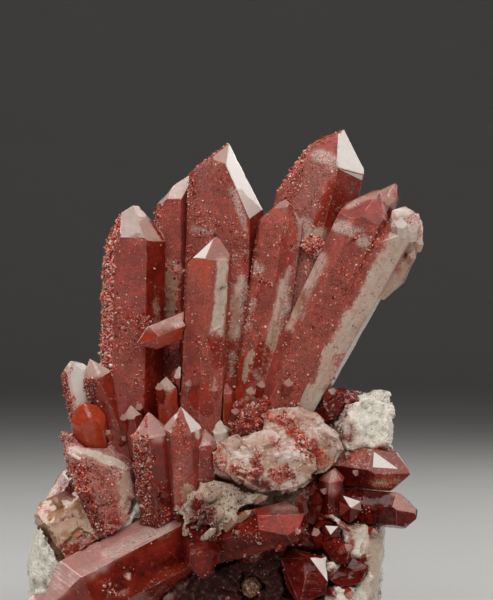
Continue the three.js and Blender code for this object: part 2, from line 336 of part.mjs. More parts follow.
let claimed = null;
for (const piece of PIECES) {
  let solid = joined(piece.members, 0);
  if (claimed) solid = solid.subtract(claimed);
  const parts = solid.decompose().sort((a, b) => b.volume() - a.volume());
  if (parts.length === 0) throw new Error(`${piece.node} is empty`);
  const whole = parts.reduce((sum, p) => sum + p.volume(), 0);
  if (parts[0].volume() < SMALLEST_SHARE * whole) throw new Error(`${piece.node} falls apart`);
  const mesh = parts[0].getMesh();
  const geometry = new THREE.BufferGeometry();
  const positions = new Float32Array((mesh.vertProperties.length / mesh.numProp) * 3);
  for (let i = 0, n = positions.length / 3; i < n; i++)
    for (let j = 0; j < 3; j++) positions[i * 3 + j] = mesh.vertProperties[i * mesh.numProp + j];
  geometry.setAttribute('position', new THREE.BufferAttribute(positions, 3));
  geometry.setIndex(new THREE.BufferAttribute(new Uint32Array(mesh.triVerts), 1));
  geometry.computeVertexNormals();
  const material = new THREE.MeshStandardMaterial({ ...MATERIALS[piece.material], flatShading: true });
  material.name = piece.node;
  const object = new THREE.Mesh(geometry, material);
  object.name = piece.node;
  specimen.add(object);
  const space = joined(piece.members, GAP);
  claimed = claimed ? claimed.add(space) : space;
}

export default specimen;
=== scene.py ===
import math

import bmesh
import bpy
import numpy as np
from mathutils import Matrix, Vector
from mathutils.geometry import delaunay_2d_cdt


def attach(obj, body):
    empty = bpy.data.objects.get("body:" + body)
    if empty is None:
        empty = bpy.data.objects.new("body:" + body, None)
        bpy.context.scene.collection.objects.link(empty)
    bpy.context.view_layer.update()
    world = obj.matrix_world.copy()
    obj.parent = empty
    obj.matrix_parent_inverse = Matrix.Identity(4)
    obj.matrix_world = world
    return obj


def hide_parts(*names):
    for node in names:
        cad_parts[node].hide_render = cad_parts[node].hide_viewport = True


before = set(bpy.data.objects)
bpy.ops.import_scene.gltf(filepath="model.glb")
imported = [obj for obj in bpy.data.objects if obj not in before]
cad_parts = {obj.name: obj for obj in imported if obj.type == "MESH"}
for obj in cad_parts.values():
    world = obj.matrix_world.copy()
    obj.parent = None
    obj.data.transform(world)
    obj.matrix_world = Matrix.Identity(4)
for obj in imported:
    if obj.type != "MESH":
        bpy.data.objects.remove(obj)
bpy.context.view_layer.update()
MM = 0.001

# ------------------------------------------------------------------ tables
# CRYSTALS repeats the solids of the CAD: prisms with a foot and a tip, and blocks on a list of corners (mm).
# FACES names the finish of each crystal's faces: p = prism, t = tip, p0..p5 and t0..t5 single faces, c0.. further facets.
# STAINS are soft patches on one crystal: [crystal, finish, weight, radius, points along its middle line] (mm).
# FACETS gives the flat face nearest to a point its own finish; SMALL are the small crystals: [foot, tip, radius, side finish, tip finish];
# SEALED is what lies inside the clear parts: [centre, direction it faces, radius, thickness, kind, stretch]; KNOB is the drusy knob: centre and half axes.
CRYSTALS = [
    {"n":"T1","b":[-20.88,-0.9,37.19],"t":[-19.74,-1.35,98.5],"r":5.737,"roll":-3.4,"taper":0.3,"side":[1.098,1.026,1.028,1.002,1.094,1.172],"rise":[-0.02,-0.25,0.1,0.3,0,0.5],"ang":[38.2,38.2,38.2,38.2,38.2,38.2],"cuts":[[-0.8833,-0.3647,0.2944,49.847],[0.0,-0.1428,0.9898,97.3]],"node":"left_tower"},
    {"n":"T2","b":[-8.89,4.95,42.45],"t":[-8.66,4.5,104.62],"r":3.825,"roll":-8,"taper":0,"side":[1.106,0.397,0.291,0.894,1.603,1.709],"rise":[0,0.3,0.3,0.1,0,0.5],"ang":[38.2,38.2,38.2,38.2,38.2,38.2],"cuts":[],"node":"tall_fan"},
    {"n":"T3","b":[-2.05,2.25,38.1],"t":[0.67,0.9,111.66],"r":7.65,"roll":10,"taper":0.2,"side":[1.0,1.0,1.0,1.0,1.0,1.0],"rise":[0.8,0.8,0.8,0.3,0.8,0.8],"ang":[38.2,38.2,38.2,38.2,38.2,38.2],"cuts":[[0.8448,-0.4181,0.3338,38.65],[0.3568,-0.6631,0.658,74.718],[-0.6096,-0.0885,0.7878,87.589],[0.8844,0.0463,0.4645,52.645],[0.0,0.5651,0.825,91.428]],"node":"tall_fan"},
    {"n":"T4","b":[4.95,-4.05,42.99],"t":[13.2,-4.95,99.03],"r":4.838,"roll":-24,"taper":0.2,"side":[1.0,1.0,1.0,1.0,1.0,1.0],"rise":[0.1,0.25,0.2,0.3,0.2,0.1],"ang":[38.2,38.2,38.2,38.2,38.2,38.2],"cuts":[[-0.2227,-0.4977,0.8383,81.961]],"node":"tall_fan"},
    {"n":"T5","b":[-4.82,-7.2,43.18],"t":[-2.37,-8.1,90.25],"r":4.612,"roll":-36,"taper":0,"side":[1.086,0.94,0.854,0.914,1.06,1.146],"rise":[0,0,0.3,0.3,0.2,0.0],"ang":[48,42,38.2,38.2,38.2,41],"cuts":[],"node":"tall_fan"},
    {"n":"T6","b":[9.7,3.15,44.82],"t":[27.02,0.45,114.11],"r":6.975,"roll":-18,"taper":0.4,"side":[1.08,0.887,0.848,0.92,1.523,1.552],"rise":[0.3,-0.05,0.06,0.2,0.6,0.6],"ang":[38.2,38,38.2,38.2,38.2,38.2],"cuts":[[-0.8212,-0.0831,0.5646,46.892],[-0.4028,-0.2176,0.889,91.092]],"node":"tall_fan"},
    {"n":"T7","b":[8.3,-4.5,45.25],"t":[33.82,-7.2,100.49],"r":6.075,"roll":14,"taper":0.4,"side":[0.946,0.786,0.84,1.054,0.834,1.02],"rise":[0.1,0.2,0.2,0.2,0.2,0],"ang":[38.2,38.2,38.2,38.2,38.2,38.2],"cuts":[],"node":"tall_fan"},
    {"n":"T7b","b":[12.78,-3.38,42.95],"t":[42.53,-6.53,95.4],"r":5.4,"roll":19,"taper":0.4,"side":[0.81,0.427,0.617,1.19,1.573,1.383],"rise":[0.1,0.2,0.2,0.2,0.2,0],"ang":[38.2,38.2,38.2,38.2,38.2,38.2],"cuts":[],"node":"tall_fan"},
    {"n":"T7c","pts":[[37.21,-6.3,96.52],[40.36,-2.25,97.57],[42.03,-4.05,96.38],[44.36,-2.7,93.97],[44.23,-4.5,89.89],[41.66,-6.3,84.95],[38.99,-6.3,80.28],[35.48,-5.4,76.5],[32.74,-6.75,77.39],[37.1,-8.1,92.02],[39.6,3.6,95.75],[43.64,3.15,93.24],[40.64,2.25,80.57],[35.04,3.15,77.41]],"node":"tall_fan"},
    {"n":"T8","b":[23.81,5.4,69.69],"t":[38.48,0.0,102.38],"r":3.825,"roll":10,"taper":0.4,"side":[0.939,0.488,0.53,1.061,1.332,1.27],"rise":[0,0,0.2,0.2,0.2,0.1],"ang":[38.2,38.2,38.2,38.2,38.2,38.2],"cuts":[[0.9658,-0.2368,0.1054,48.053]],"node":"tall_fan"},
    {"n":"C1","b":[-4.42,-4.95,24.98],"t":[-39.15,-24.75,8.53],"r":7.763,"roll":-2,"taper":0.3,"side":[1.0,1.0,1.0,1.0,1.0,1.0],"rise":[0.1,0.1,0.2,0.1,0.3,0.0],"ang":[38.2,38.2,38.2,38.2,38.2,38.2],"cuts":[],"node":"long_crossing_point"},
    {"n":"K1","b":[-14.24,-11.25,25.79],"t":[-16.74,-14.85,51.53],"r":3.712,"roll":-32,"taper":0.4,"side":[1.0,1.0,1.0,1.0,1.0,1.0],"rise":[0,0,0.2,0.3,0.2,0.1],"ang":[38.2,38.2,38.2,38.2,38.2,38.2],"cuts":[],"node":"front_spears"},
    {"n":"K2","b":[-8.27,-11.7,30.23],"t":[-9.48,-16.2,52.68],"r":3.825,"roll":-4,"taper":0.4,"side":[1.0,1.0,1.0,1.0,1.0,1.0],"rise":[0,0.05,0.2,0.3,0.2,0.1],"ang":[38.2,38.2,38.2,38.2,38.2,38.2],"cuts":[],"node":"front_spears"},
    {"n":"K3","b":[-4.09,-11.25,31.3],"t":[-4.27,-13.95,47.98],"r":2.925,"roll":8,"taper":0.4,"side":[1.0,1.0,1.0,1.0,1.0,1.0],"rise":[0.2,0,0.2,0.3,0.2,0.1],"ang":[38.2,38.2,38.2,38.2,38.2,38.2],"cuts":[],"node":"front_spears"},
    {"n":"K3b","b":[-0.14,-9.0,36.65],"t":[-1.23,-10.8,50.24],"r":2.25,"roll":0,"taper":0.4,"side":[1.0,1.0,1.0,1.0,1.0,1.0],"rise":[0,0.15,0,0.15,0,0.15],"ang":[38.2,38.2,38.2,38.2,38.2,38.2],"cuts":[],"node":"front_spears"},
    {"n":"K4a","pts":[[8.24,-13.05,51.88],[10.47,-9.9,53.73],[16.66,-9.9,53.29],[20.63,-10.35,51.32],[25.45,-11.25,46.29],[26.34,-11.25,43.42],[24.96,-12.6,40.43],[22.06,-13.95,38.76],[16.49,-18.0,39.47],[9.96,-17.55,43.8],[8.23,-15.75,47.63],[14.37,-14.85,51.31],[20.94,-14.85,46.27],[10.15,2.25,44.87],[23.7,2.25,43.74],[21.38,0.0,37.12]],"node":"pale_lumps"},
    {"n":"K4b","pts":[[-2.72,-14.85,45.61],[3.41,-13.95,47.1],[9.54,-15.75,48.51],[15.64,-17.1,45.08],[19.54,-18.0,42.74],[20.4,-18.45,39.94],[17.76,-19.35,36.74],[14.27,-20.25,35.07],[8.19,-21.15,34.92],[2.56,-20.7,37.92],[-2.24,-18.45,40.38],[-2.83,-6.75,36.49],[16.73,-6.75,34.26],[8.2,-20.7,43.99]],"node":"pale_lumps"},
    {"n":"K6","b":[-6.02,-13.95,29.98],"t":[-4.11,-23.4,16.77],"r":3.6,"roll":8,"taper":0.4,"side":[1.0,1.0,1.0,1.0,1.0,1.0],"rise":[0.1,0.5,0.3,0.2,0.2,0.0],"ang":[38.2,38.2,38.2,38.2,38.2,38.2],"cuts":[],"node":"hanging_point"},
    {"n":"K7","b":[-7.62,-11.25,21.82],"t":[18.73,-23.85,29.75],"r":4.838,"roll":24,"taper":0.4,"side":[1.0,1.0,1.0,1.0,1.0,1.0],"rise":[0.3,0.25,0.1,0.0,0.1,0.1],"ang":[38,42,38,38,38,24],"cuts":[[0.9407,-0.3078,-0.1426,19.089],[-0.0747,-0.4738,0.8775,36.489]],"node":"low_bar"},
    {"n":"R3","b":[22.43,-2.25,40.2],"t":[41.2,-9.9,38.04],"r":4.388,"roll":30,"taper":0.4,"side":[1.0,1.0,1.0,1.0,1.0,1.0],"rise":[0,0,0,0,0,0],"ang":[33,46,38,38,46,27],"cuts":[],"node":"right_upper_point"},
    {"n":"R4","b":[22.36,-4.5,30.74],"t":[42.65,-11.25,29.75],"r":3.712,"roll":16,"taper":0.4,"side":[1.0,1.0,1.0,1.0,1.0,1.0],"rise":[0.2,0.52,0.2,0.3,0.1,0.0],"ang":[38.2,38.2,38.2,38.2,38.2,38.2],"cuts":[[0.9572,-0.263,0.1209,46.997]],"node":"right_lower_point"},
    {"n":"L1","b":[-31.13,-2.25,46.92],"t":[-33.63,-4.95,62.9],"r":2.925,"roll":0,"taper":-2,"side":[1.0,1.0,1.0,1.0,1.0,1.0],"rise":[2.0,0.75,0.3,0.05,0.3,0.85],"ang":[38.2,38.2,38.2,38.2,38.2,38.2],"cuts":[[0.1951,-0.1019,0.9755,55.252],[-0.6945,-0.377,0.6128,64.91]],"node":"left_trio"},
    {"n":"L2","b":[-21.68,-3.15,42.49],"t":[-29.92,-7.2,62.95],"r":3.15,"roll":-22,"taper":0.4,"side":[1.0,1.0,1.0,1.0,1.0,1.0],"rise":[0,0.1,0.2,0.3,0.2,0.1],"ang":[38.2,38.2,38.2,38.2,38.2,38.2],"cuts":[],"node":"left_trio"},
    {"n":"L3","b":[-29.03,-3.6,41.85],"t":[-31.05,-10.35,53.75],"r":3.825,"roll":20,"taper":0.4,"side":[1.0,1.0,1.0,1.0,1.0,1.0],"rise":[0.6,0.2,0.35,0.3,0.35,0.2],"ang":[38.2,38.2,38.2,38.2,38.2,38.2],"cuts":[],"node":"left_trio"},
    {"n":"L4","pts":[[-35.86,-8.1,47.23],[-26.69,-5.4,45.75],[-21.17,-4.5,43.24],[-19.54,-5.85,40.43],[-34.77,-13.95,43.15],[-29.45,-14.85,41.23],[-23.33,-14.4,39.01],[-20.57,-12.6,39.11],[-33.33,-15.75,37.13],[-27.59,-16.65,24.54],[-23.22,-16.65,26.06],[-19.91,-12.6,29.87],[-20.72,-4.5,36.32],[-34.72,-2.25,38.4],[-28.12,0.0,27.0],[-35.84,-11.25,44.31]],"node":"left_block"},
    {"n":"L5","pts":[[-41.69,-9.9,29.42],[-39.44,-7.65,33.89],[-36.69,-5.85,37.53],[-34.97,-4.95,39.48],[-31.73,-13.5,33.02],[-27.37,-16.65,23.88],[-34.54,-17.1,19.34],[-39.08,-14.85,26.77],[-42.03,-5.85,27.51],[-30.23,-2.25,22.72],[-37.29,2.25,33.58],[-36.34,-4.5,18.02]],"node":"left_block"},
    {"n":"M1","b":[-7.72,-6.75,71.61],"t":[-18.85,-11.7,67.03],"r":2.7,"roll":25,"taper":0.4,"side":[1.0,1.0,1.0,1.0,1.0,1.0],"rise":[0,0.2,0.3,0.3,0.2,0.1],"ang":[38.2,38.2,38.2,38.2,38.2,38.2],"cuts":[],"node":"side_twig"},
    {"n":"M2","b":[-8.39,-6.75,51.6],"t":[-10.12,-8.55,61.88],"r":1.8,"roll":-10,"taper":0.4,"side":[1.0,1.0,1.0,1.0,1.0,1.0],"rise":[0,0.15,0,0.15,0,0.15],"ang":[38.2,38.2,38.2,38.2,38.2,38.2],"cuts":[],"node":"foot_point_b"},
    {"n":"M3","b":[-12.36,-7.65,47.2],"t":[-12.96,-9.9,59.7],"r":2.25,"roll":-20,"taper":0.4,"side":[1.0,1.0,1.0,1.0,1.0,1.0],"rise":[0,0.15,0,0.15,0,0.15],"ang":[38.2,38.2,38.2,38.2,38.2,38.2],"cuts":[],"node":"foot_point_a"},
    {"n":"M4","b":[0.29,-7.65,47.2],"t":[0.3,-9.0,58.12],"r":1.688,"roll":10,"taper":0.4,"side":[1.0,1.0,1.0,1.0,1.0,1.0],"rise":[0,0.15,0,0.15,0,0.15],"ang":[38.2,38.2,38.2,38.2,38.2,38.2],"cuts":[],"node":"foot_point_c"},
    {"n":"M5","b":[-19.02,-7.65,42.1],"t":[-20.67,-10.35,53.31],"r":2.025,"roll":-20,"taper":0.4,"side":[1.0,1.0,1.0,1.0,1.0,1.0],"rise":[0,0.15,0,0.15,0,0.15],"ang":[38.2,38.2,38.2,38.2,38.2,38.2],"cuts":[],"node":"foot_point_d"},
    {"n":"R5b","b":[23.35,-8.1,27.71],"t":[23.69,-11.25,39.9],"r":2.7,"roll":20,"taper":0.4,"side":[1.0,1.0,1.0,1.0,1.0,1.0],"rise":[0.2,0.2,0.2,0.2,0.2,0.2],"ang":[38.2,38.2,38.2,38.2,38.2,38.2],"cuts":[],"node":"right_stub_pair"},
    {"n":"R5","pts":[[26.03,-13.5,33.68],[30.0,-13.05,32.32],[27.72,-15.08,30.95],[25.17,-13.05,32.1],[25.4,-12.6,28.99],[27.57,-13.5,27.31],[30.26,-12.15,30.05],[25.93,-4.5,32.31],[30.17,-4.5,31.86],[27.94,-4.5,26.5]],"node":"right_stub_pair"},
    {"n":"R5c","pts":[[21.96,-17.32,27.43],[25.03,-16.88,27.18],[23.21,-18.9,25.4],[21.1,-16.65,26.06],[21.74,-17.1,23.71],[23.69,-17.55,22.88],[25.49,-16.2,24.27],[21.53,-9.9,26.54],[25.5,-9.9,26.1],[23.74,-9.9,22.12]],"node":"right_tiny_point"},
    {"n":"R7","b":[21.49,-11.25,25.79],"t":[26.35,-22.05,19.43],"r":2.475,"roll":10,"taper":0.4,"side":[1.0,1.0,1.0,1.0,1.0,1.0],"rise":[0,0.15,0,0.15,0,0.15],"ang":[38.2,38.2,38.2,38.2,38.2,38.2],"cuts":[],"node":"right_dark_point"},
    {"n":"R2","b":[16.88,0.0,47.25],"t":[26.7,-7.65,55.42],"r":3.15,"roll":10,"taper":0.4,"side":[1.0,1.0,1.0,1.0,1.0,1.0],"rise":[0,0.15,0,0.15,0,0.15],"ang":[38.2,38.2,38.2,38.2,38.2,38.2],"cuts":[],"node":"shelf_bar"},
    {"n":"R1b","pts":[[22.29,-6.75,56.94],[23.7,2.25,56.85],[31.15,2.25,55.94],[30.27,-7.2,54.07],[23.8,-8.1,54.99],[23.4,-6.75,51.6],[23.78,4.5,51.1],[30.58,4.5,51.1]],"node":"shelf_bar"},
    {"n":"R8","pts":[[24.08,-18.9,17.79],[27.38,-18.0,20.74],[31.47,-18.9,18.44],[29.69,-19.8,15.07],[25.1,-20.7,14.08],[22.93,-20.7,15.82],[24.59,-4.5,18.47],[31.29,-4.5,16.24],[26.82,-4.5,11.77]],"node":"corner_stub"},
    {"n":"R9","pts":[[12.12,-18.9,20.4],[14.31,-18.0,22.49],[18.58,-21.6,20.68],[22.3,-20.25,20.76],[22.44,-22.5,15.59],[21.77,-23.4,13.1],[16.36,-23.85,11.0],[13.84,-20.25,13.6],[16.78,-4.5,20.7],[23.47,-4.5,11.77],[13.43,-4.5,11.77]],"node":"corner_wedge"},
    {"n":"K8","b":[6.07,-4.5,17.35],"t":[5.82,-14.85,11.88],"r":2.138,"roll":10,"taper":0.4,"side":[1.0,1.0,1.0,1.0,1.0,1.0],"rise":[0.5,0.5,0.5,0.5,0.5,0.5],"ang":[38.2,38.2,38.2,38.2,38.2,38.2],"cuts":[],"node":"recess_nub"},
    {"n":"L7","b":[-31.88,-11.25,7.7],"t":[-44.78,-14.85,9.47],"r":2.7,"roll":0,"taper":0.4,"side":[1.0,1.0,1.0,1.0,1.0,1.0],"rise":[0.2,0.2,0.2,0.2,0.2,0.2],"ang":[38.2,38.2,38.2,38.2,38.2,38.2],"cuts":[],"node":"left_low_point"},
    {"n":"B1","b":[-17.22,9.0,34.21],"t":[-14.64,20.7,69.5],"r":4.275,"roll":5,"taper":0.4,"side":[1.0,1.0,1.0,1.0,1.0,1.0],"rise":[0,0.2,0.1,0,0.2,0.1],"ang":[38.2,38.2,38.2,38.2,38.2,38.2],"cuts":[],"node":"back_point_a"},
    {"n":"B2","b":[3.35,11.25,34.04],"t":[8.44,18.9,78.83],"r":5.175,"roll":20,"taper":0.4,"side":[1.0,1.0,1.0,1.0,1.0,1.0],"rise":[0.2,0.2,0.1,0,0.1,0.2],"ang":[38.2,38.2,38.2,38.2,38.2,38.2],"cuts":[],"node":"back_point_b"},
    {"n":"B3","b":[16.15,9.0,35.35],"t":[21.93,18.9,64.41],"r":3.6,"roll":10,"taper":0.4,"side":[1.0,1.0,1.0,1.0,1.0,1.0],"rise":[0,0.15,0,0.15,0,0.15],"ang":[38.2,38.2,38.2,38.2,38.2,38.2],"cuts":[],"node":"back_point_c"},
    {"n":"B10","b":[-8.1,10.12,35.27],"t":[-4.52,14.85,74.65],"r":3.6,"roll":0,"taper":0.4,"side":[1.0,1.0,1.0,1.0,1.0,1.0],"rise":[0.2,0.2,0.1,0,0.1,0.2],"ang":[38.2,38.2,38.2,38.2,38.2,38.2],"cuts":[],"node":"back_point_m"},
    {"n":"B4","b":[-5.92,15.75,25.61],"t":[-9.02,29.7,52.34],"r":4.05,"roll":-10,"taper":0.4,"side":[1.0,1.0,1.0,1.0,1.0,1.0],"rise":[0,0.2,0.2,0.0,0.1,0.2],"ang":[38.2,38.2,38.2,38.2,38.2,38.2],"cuts":[],"node":"back_point_d"},
    {"n":"B5","b":[12.59,15.75,25.61],"t":[18.96,31.05,46.82],"r":3.825,"roll":15,"taper":0.4,"side":[1.0,1.0,1.0,1.0,1.0,1.0],"rise":[0,0.15,0,0.15,0,0.15],"ang":[38.2,38.2,38.2,38.2,38.2,38.2],"cuts":[],"node":"back_point_e"},
    {"n":"B11","b":[4.72,18.0,23.09],"t":[4.24,32.85,43.16],"r":3.375,"roll":25,"taper":0.4,"side":[1.0,1.0,1.0,1.0,1.0,1.0],"rise":[0.2,0.2,0.1,0,0.1,0.2],"ang":[38.2,38.2,38.2,38.2,38.2,38.2],"cuts":[],"node":"back_point_j"},
    {"n":"B6","b":[-23.05,11.25,28.3],"t":[-29.51,23.62,49.54],"r":3.375,"roll":0,"taper":0.4,"side":[1.0,1.0,1.0,1.0,1.0,1.0],"rise":[0.2,0.2,0.2,0.1,0.0,0.2],"ang":[38.2,38.2,38.2,38.2,38.2,38.2],"cuts":[],"node":"back_point_f"},
    {"n":"B7","b":[25.19,12.38,25.91],"t":[32.93,25.2,40.06],"r":3.375,"roll":20,"taper":0.4,"side":[1.0,1.0,1.0,1.0,1.0,1.0],"rise":[0,0.15,0,0.15,0,0.15],"ang":[38.2,38.2,38.2,38.2,38.2,38.2],"cuts":[],"node":"back_point_g"},
    {"n":"B12","b":[-15.33,20.25,19.39],"t":[-21.04,33.75,33.57],"r":3.6,"roll":0,"taper":0.4,"side":[1.0,1.0,1.0,1.0,1.0,1.0],"rise":[0.2,0.2,0.1,0,0.1,0.2],"ang":[38.2,38.2,38.2,38.2,38.2,38.2],"cuts":[],"node":"back_point_k"},
    {"n":"B13","b":[19.64,20.25,15.89],"t":[25.69,33.3,25.98],"r":3.825,"roll":10,"taper":0.4,"side":[1.0,1.0,1.0,1.0,1.0,1.0],"rise":[0,0.15,0,0.15,0,0.15],"ang":[38.2,38.2,38.2,38.2,38.2,38.2],"cuts":[],"node":"back_point_l"},
    {"n":"B8","b":[-0.17,20.25,12.4],"t":[-1.03,36.45,14.21],"r":4.05,"roll":10,"taper":0.4,"side":[1.0,1.0,1.0,1.0,1.0,1.0],"rise":[0.2,0.2,0.1,0,0.1,0.2],"ang":[38.2,38.2,38.2,38.2,38.2,38.2],"cuts":[],"node":"back_point_h"},
    {"n":"B9","b":[-26.86,18.0,13.81],"t":[-38.83,29.25,18.51],"r":3.6,"roll":10,"taper":0.4,"side":[1.0,1.0,1.0,1.0,1.0,1.0],"rise":[0,0.15,0,0.15,0,0.15],"ang":[38.2,38.2,38.2,38.2,38.2,38.2],"cuts":[],"node":"back_point_i"},
    {"n":"S1","b":[-27.38,6.75,26.41],"t":[-35.52,15.75,40.65],"r":2.925,"roll":10,"taper":0.4,"side":[1.0,1.0,1.0,1.0,1.0,1.0],"rise":[0.2,0.2,0.1,0,0.1,0.2],"ang":[38.2,38.2,38.2,38.2,38.2,38.2],"cuts":[],"node":"side_point_left"},
    {"n":"S2","b":[22.92,13.5,23.51],"t":[37.33,19.8,32.94],"r":2.925,"roll":10,"taper":0.4,"side":[1.0,1.0,1.0,1.0,1.0,1.0],"rise":[0.2,0.2,0.1,0,0.1,0.2],"ang":[38.2,38.2,38.2,38.2,38.2,38.2],"cuts":[],"node":"side_point_right"},
    {"n":"X1","pts":[[30.62,-4.5,56.19],[36.05,-3.15,55.47],[35.95,-4.95,54.64],[35.4,-6.75,52.94],[37.23,-5.85,50.0],[36.74,-6.75,45.82],[26.61,-9.9,43.79],[24.59,-10.8,48.91],[26.66,-8.55,54.34],[30.45,-8.1,54.77],[23.93,9.0,55.01],[36.22,8.1,54.36],[37.74,10.8,48.98],[37.44,13.5,44.24],[25.23,13.5,42.4]],"node":"matrix"},
    {"n":"X2","pts":[[35.65,-6.3,46.69],[37.21,-6.3,45.13],[37.9,-5.85,43.77],[37.23,-5.85,41.99],[26.65,-9.0,41.08],[26.65,-9.0,47.72],[35.65,-6.3,48.02],[37.93,13.95,40.76],[26.4,13.95,40.76],[28.5,9.0,17.06],[34.79,15.75,20.99]],"node":"matrix"},
    {"n":"X3","pts":[[26.54,-11.7,29.13],[30.39,-9.45,31.59],[35.33,-8.1,26.16],[34.84,-9.0,21.15],[34.13,-9.9,18.59],[31.58,-12.15,16.18],[29.08,-13.95,13.31],[23.08,-16.2,26.24],[36.52,13.5,25.81],[36.3,18.0,17.29],[29.08,-13.95,0.0],[32.85,-4.5,0.0],[34.79,15.75,0.0],[16.59,-13.5,0.0],[16.88,0.0,31.5],[17.26,18.0,25.42],[17.26,18.0,0.0]],"node":"matrix"},
    {"n":"X3b","pts":[[16.49,-18.0,19.87],[29.02,-15.3,13.02],[27.32,-19.35,16.75],[22.93,-20.7,20.15],[16.41,-21.6,0.0],[25.07,-21.6,0.0],[29.22,-15.75,0.0],[16.88,0.0,18.0],[16.88,0.0,0.0],[28.12,0.0,11.25]],"node":"matrix"},
    {"n":"X4","pts":[[-41.29,-9.45,27.39],[-42.47,-8.55,24.43],[-43.66,-7.65,18.8],[-43.62,-8.1,15.52],[-42.54,-10.35,12.89],[-35.95,-15.75,13.08],[-34.98,-17.1,19.34],[-38.24,-14.4,26.07],[-25.02,-15.75,24.01],[-25.02,-15.75,13.08],[-41.91,9.0,24.84],[-45.04,13.5,15.44],[-41.77,-9.0,0.0],[-44.31,15.75,0.0],[-35.75,-18.45,0.0],[-22.67,-18.9,0.0],[-24.54,18.0,0.0],[-26.86,18.0,25.42],[-24.31,13.5,21.2]],"node":"matrix"},
    {"n":"X5","pts":[[-23.28,-6.75,42.71],[-14.31,-9.0,43.29],[16.68,-9.0,43.29],[23.4,-6.75,42.04],[24.0,11.25,40.93],[5.64,13.95,43.07],[-17.38,13.05,41.97],[-26.37,9.0,37.64],[-34.68,13.5,30.42],[-34.56,-4.5,27.4],[-33.99,-12.6,23.71],[-25.06,-14.85,19.54],[16.57,-14.4,19.5],[27.57,-13.5,23.8],[32.25,15.75,25.61],[29.06,22.5,20.34],[3.31,25.2,24.78],[-27.15,23.4,22.6],[-36.29,-11.25,0.0],[-25.19,-12.6,0.0],[16.61,-12.6,0.0],[30.41,-9.0,0.0],[31.81,21.38,0.0],[17.46,27.45,0.0],[-17.93,27.45,0.0],[-40.97,20.25,0.0]],"node":"matrix"},
    {"n":"X6","pts":[[-10.22,-13.05,37.82],[-5.32,-16.2,37.6],[1.68,-18.0,37.3],[8.21,-19.35,34.79],[8.64,-19.35,33.05],[3.43,-19.8,30.04],[-0.89,-21.82,24.38],[-4.76,-23.18,23.21],[-8.9,-21.6,25.01],[-9.66,-17.55,29.63],[-10.01,-4.5,27.4],[7.85,-4.5,31.86],[1.17,-6.75,23.15]],"node":"matrix"},
    {"n":"X7","pts":[[1.64,-11.7,54.03],[3.4,-11.25,55.33],[6.93,-10.8,56.64],[9.13,-12.15,54.93],[9.56,-13.5,51.9],[8.23,-14.85,49.12],[3.41,-14.85,48.02],[0.77,-13.5,50.15],[1.63,-9.9,43.34],[8.26,-9.9,43.34],[3.39,-6.75,52.05],[8.28,-6.75,54.27]],"node":"drusy_knot"},
]
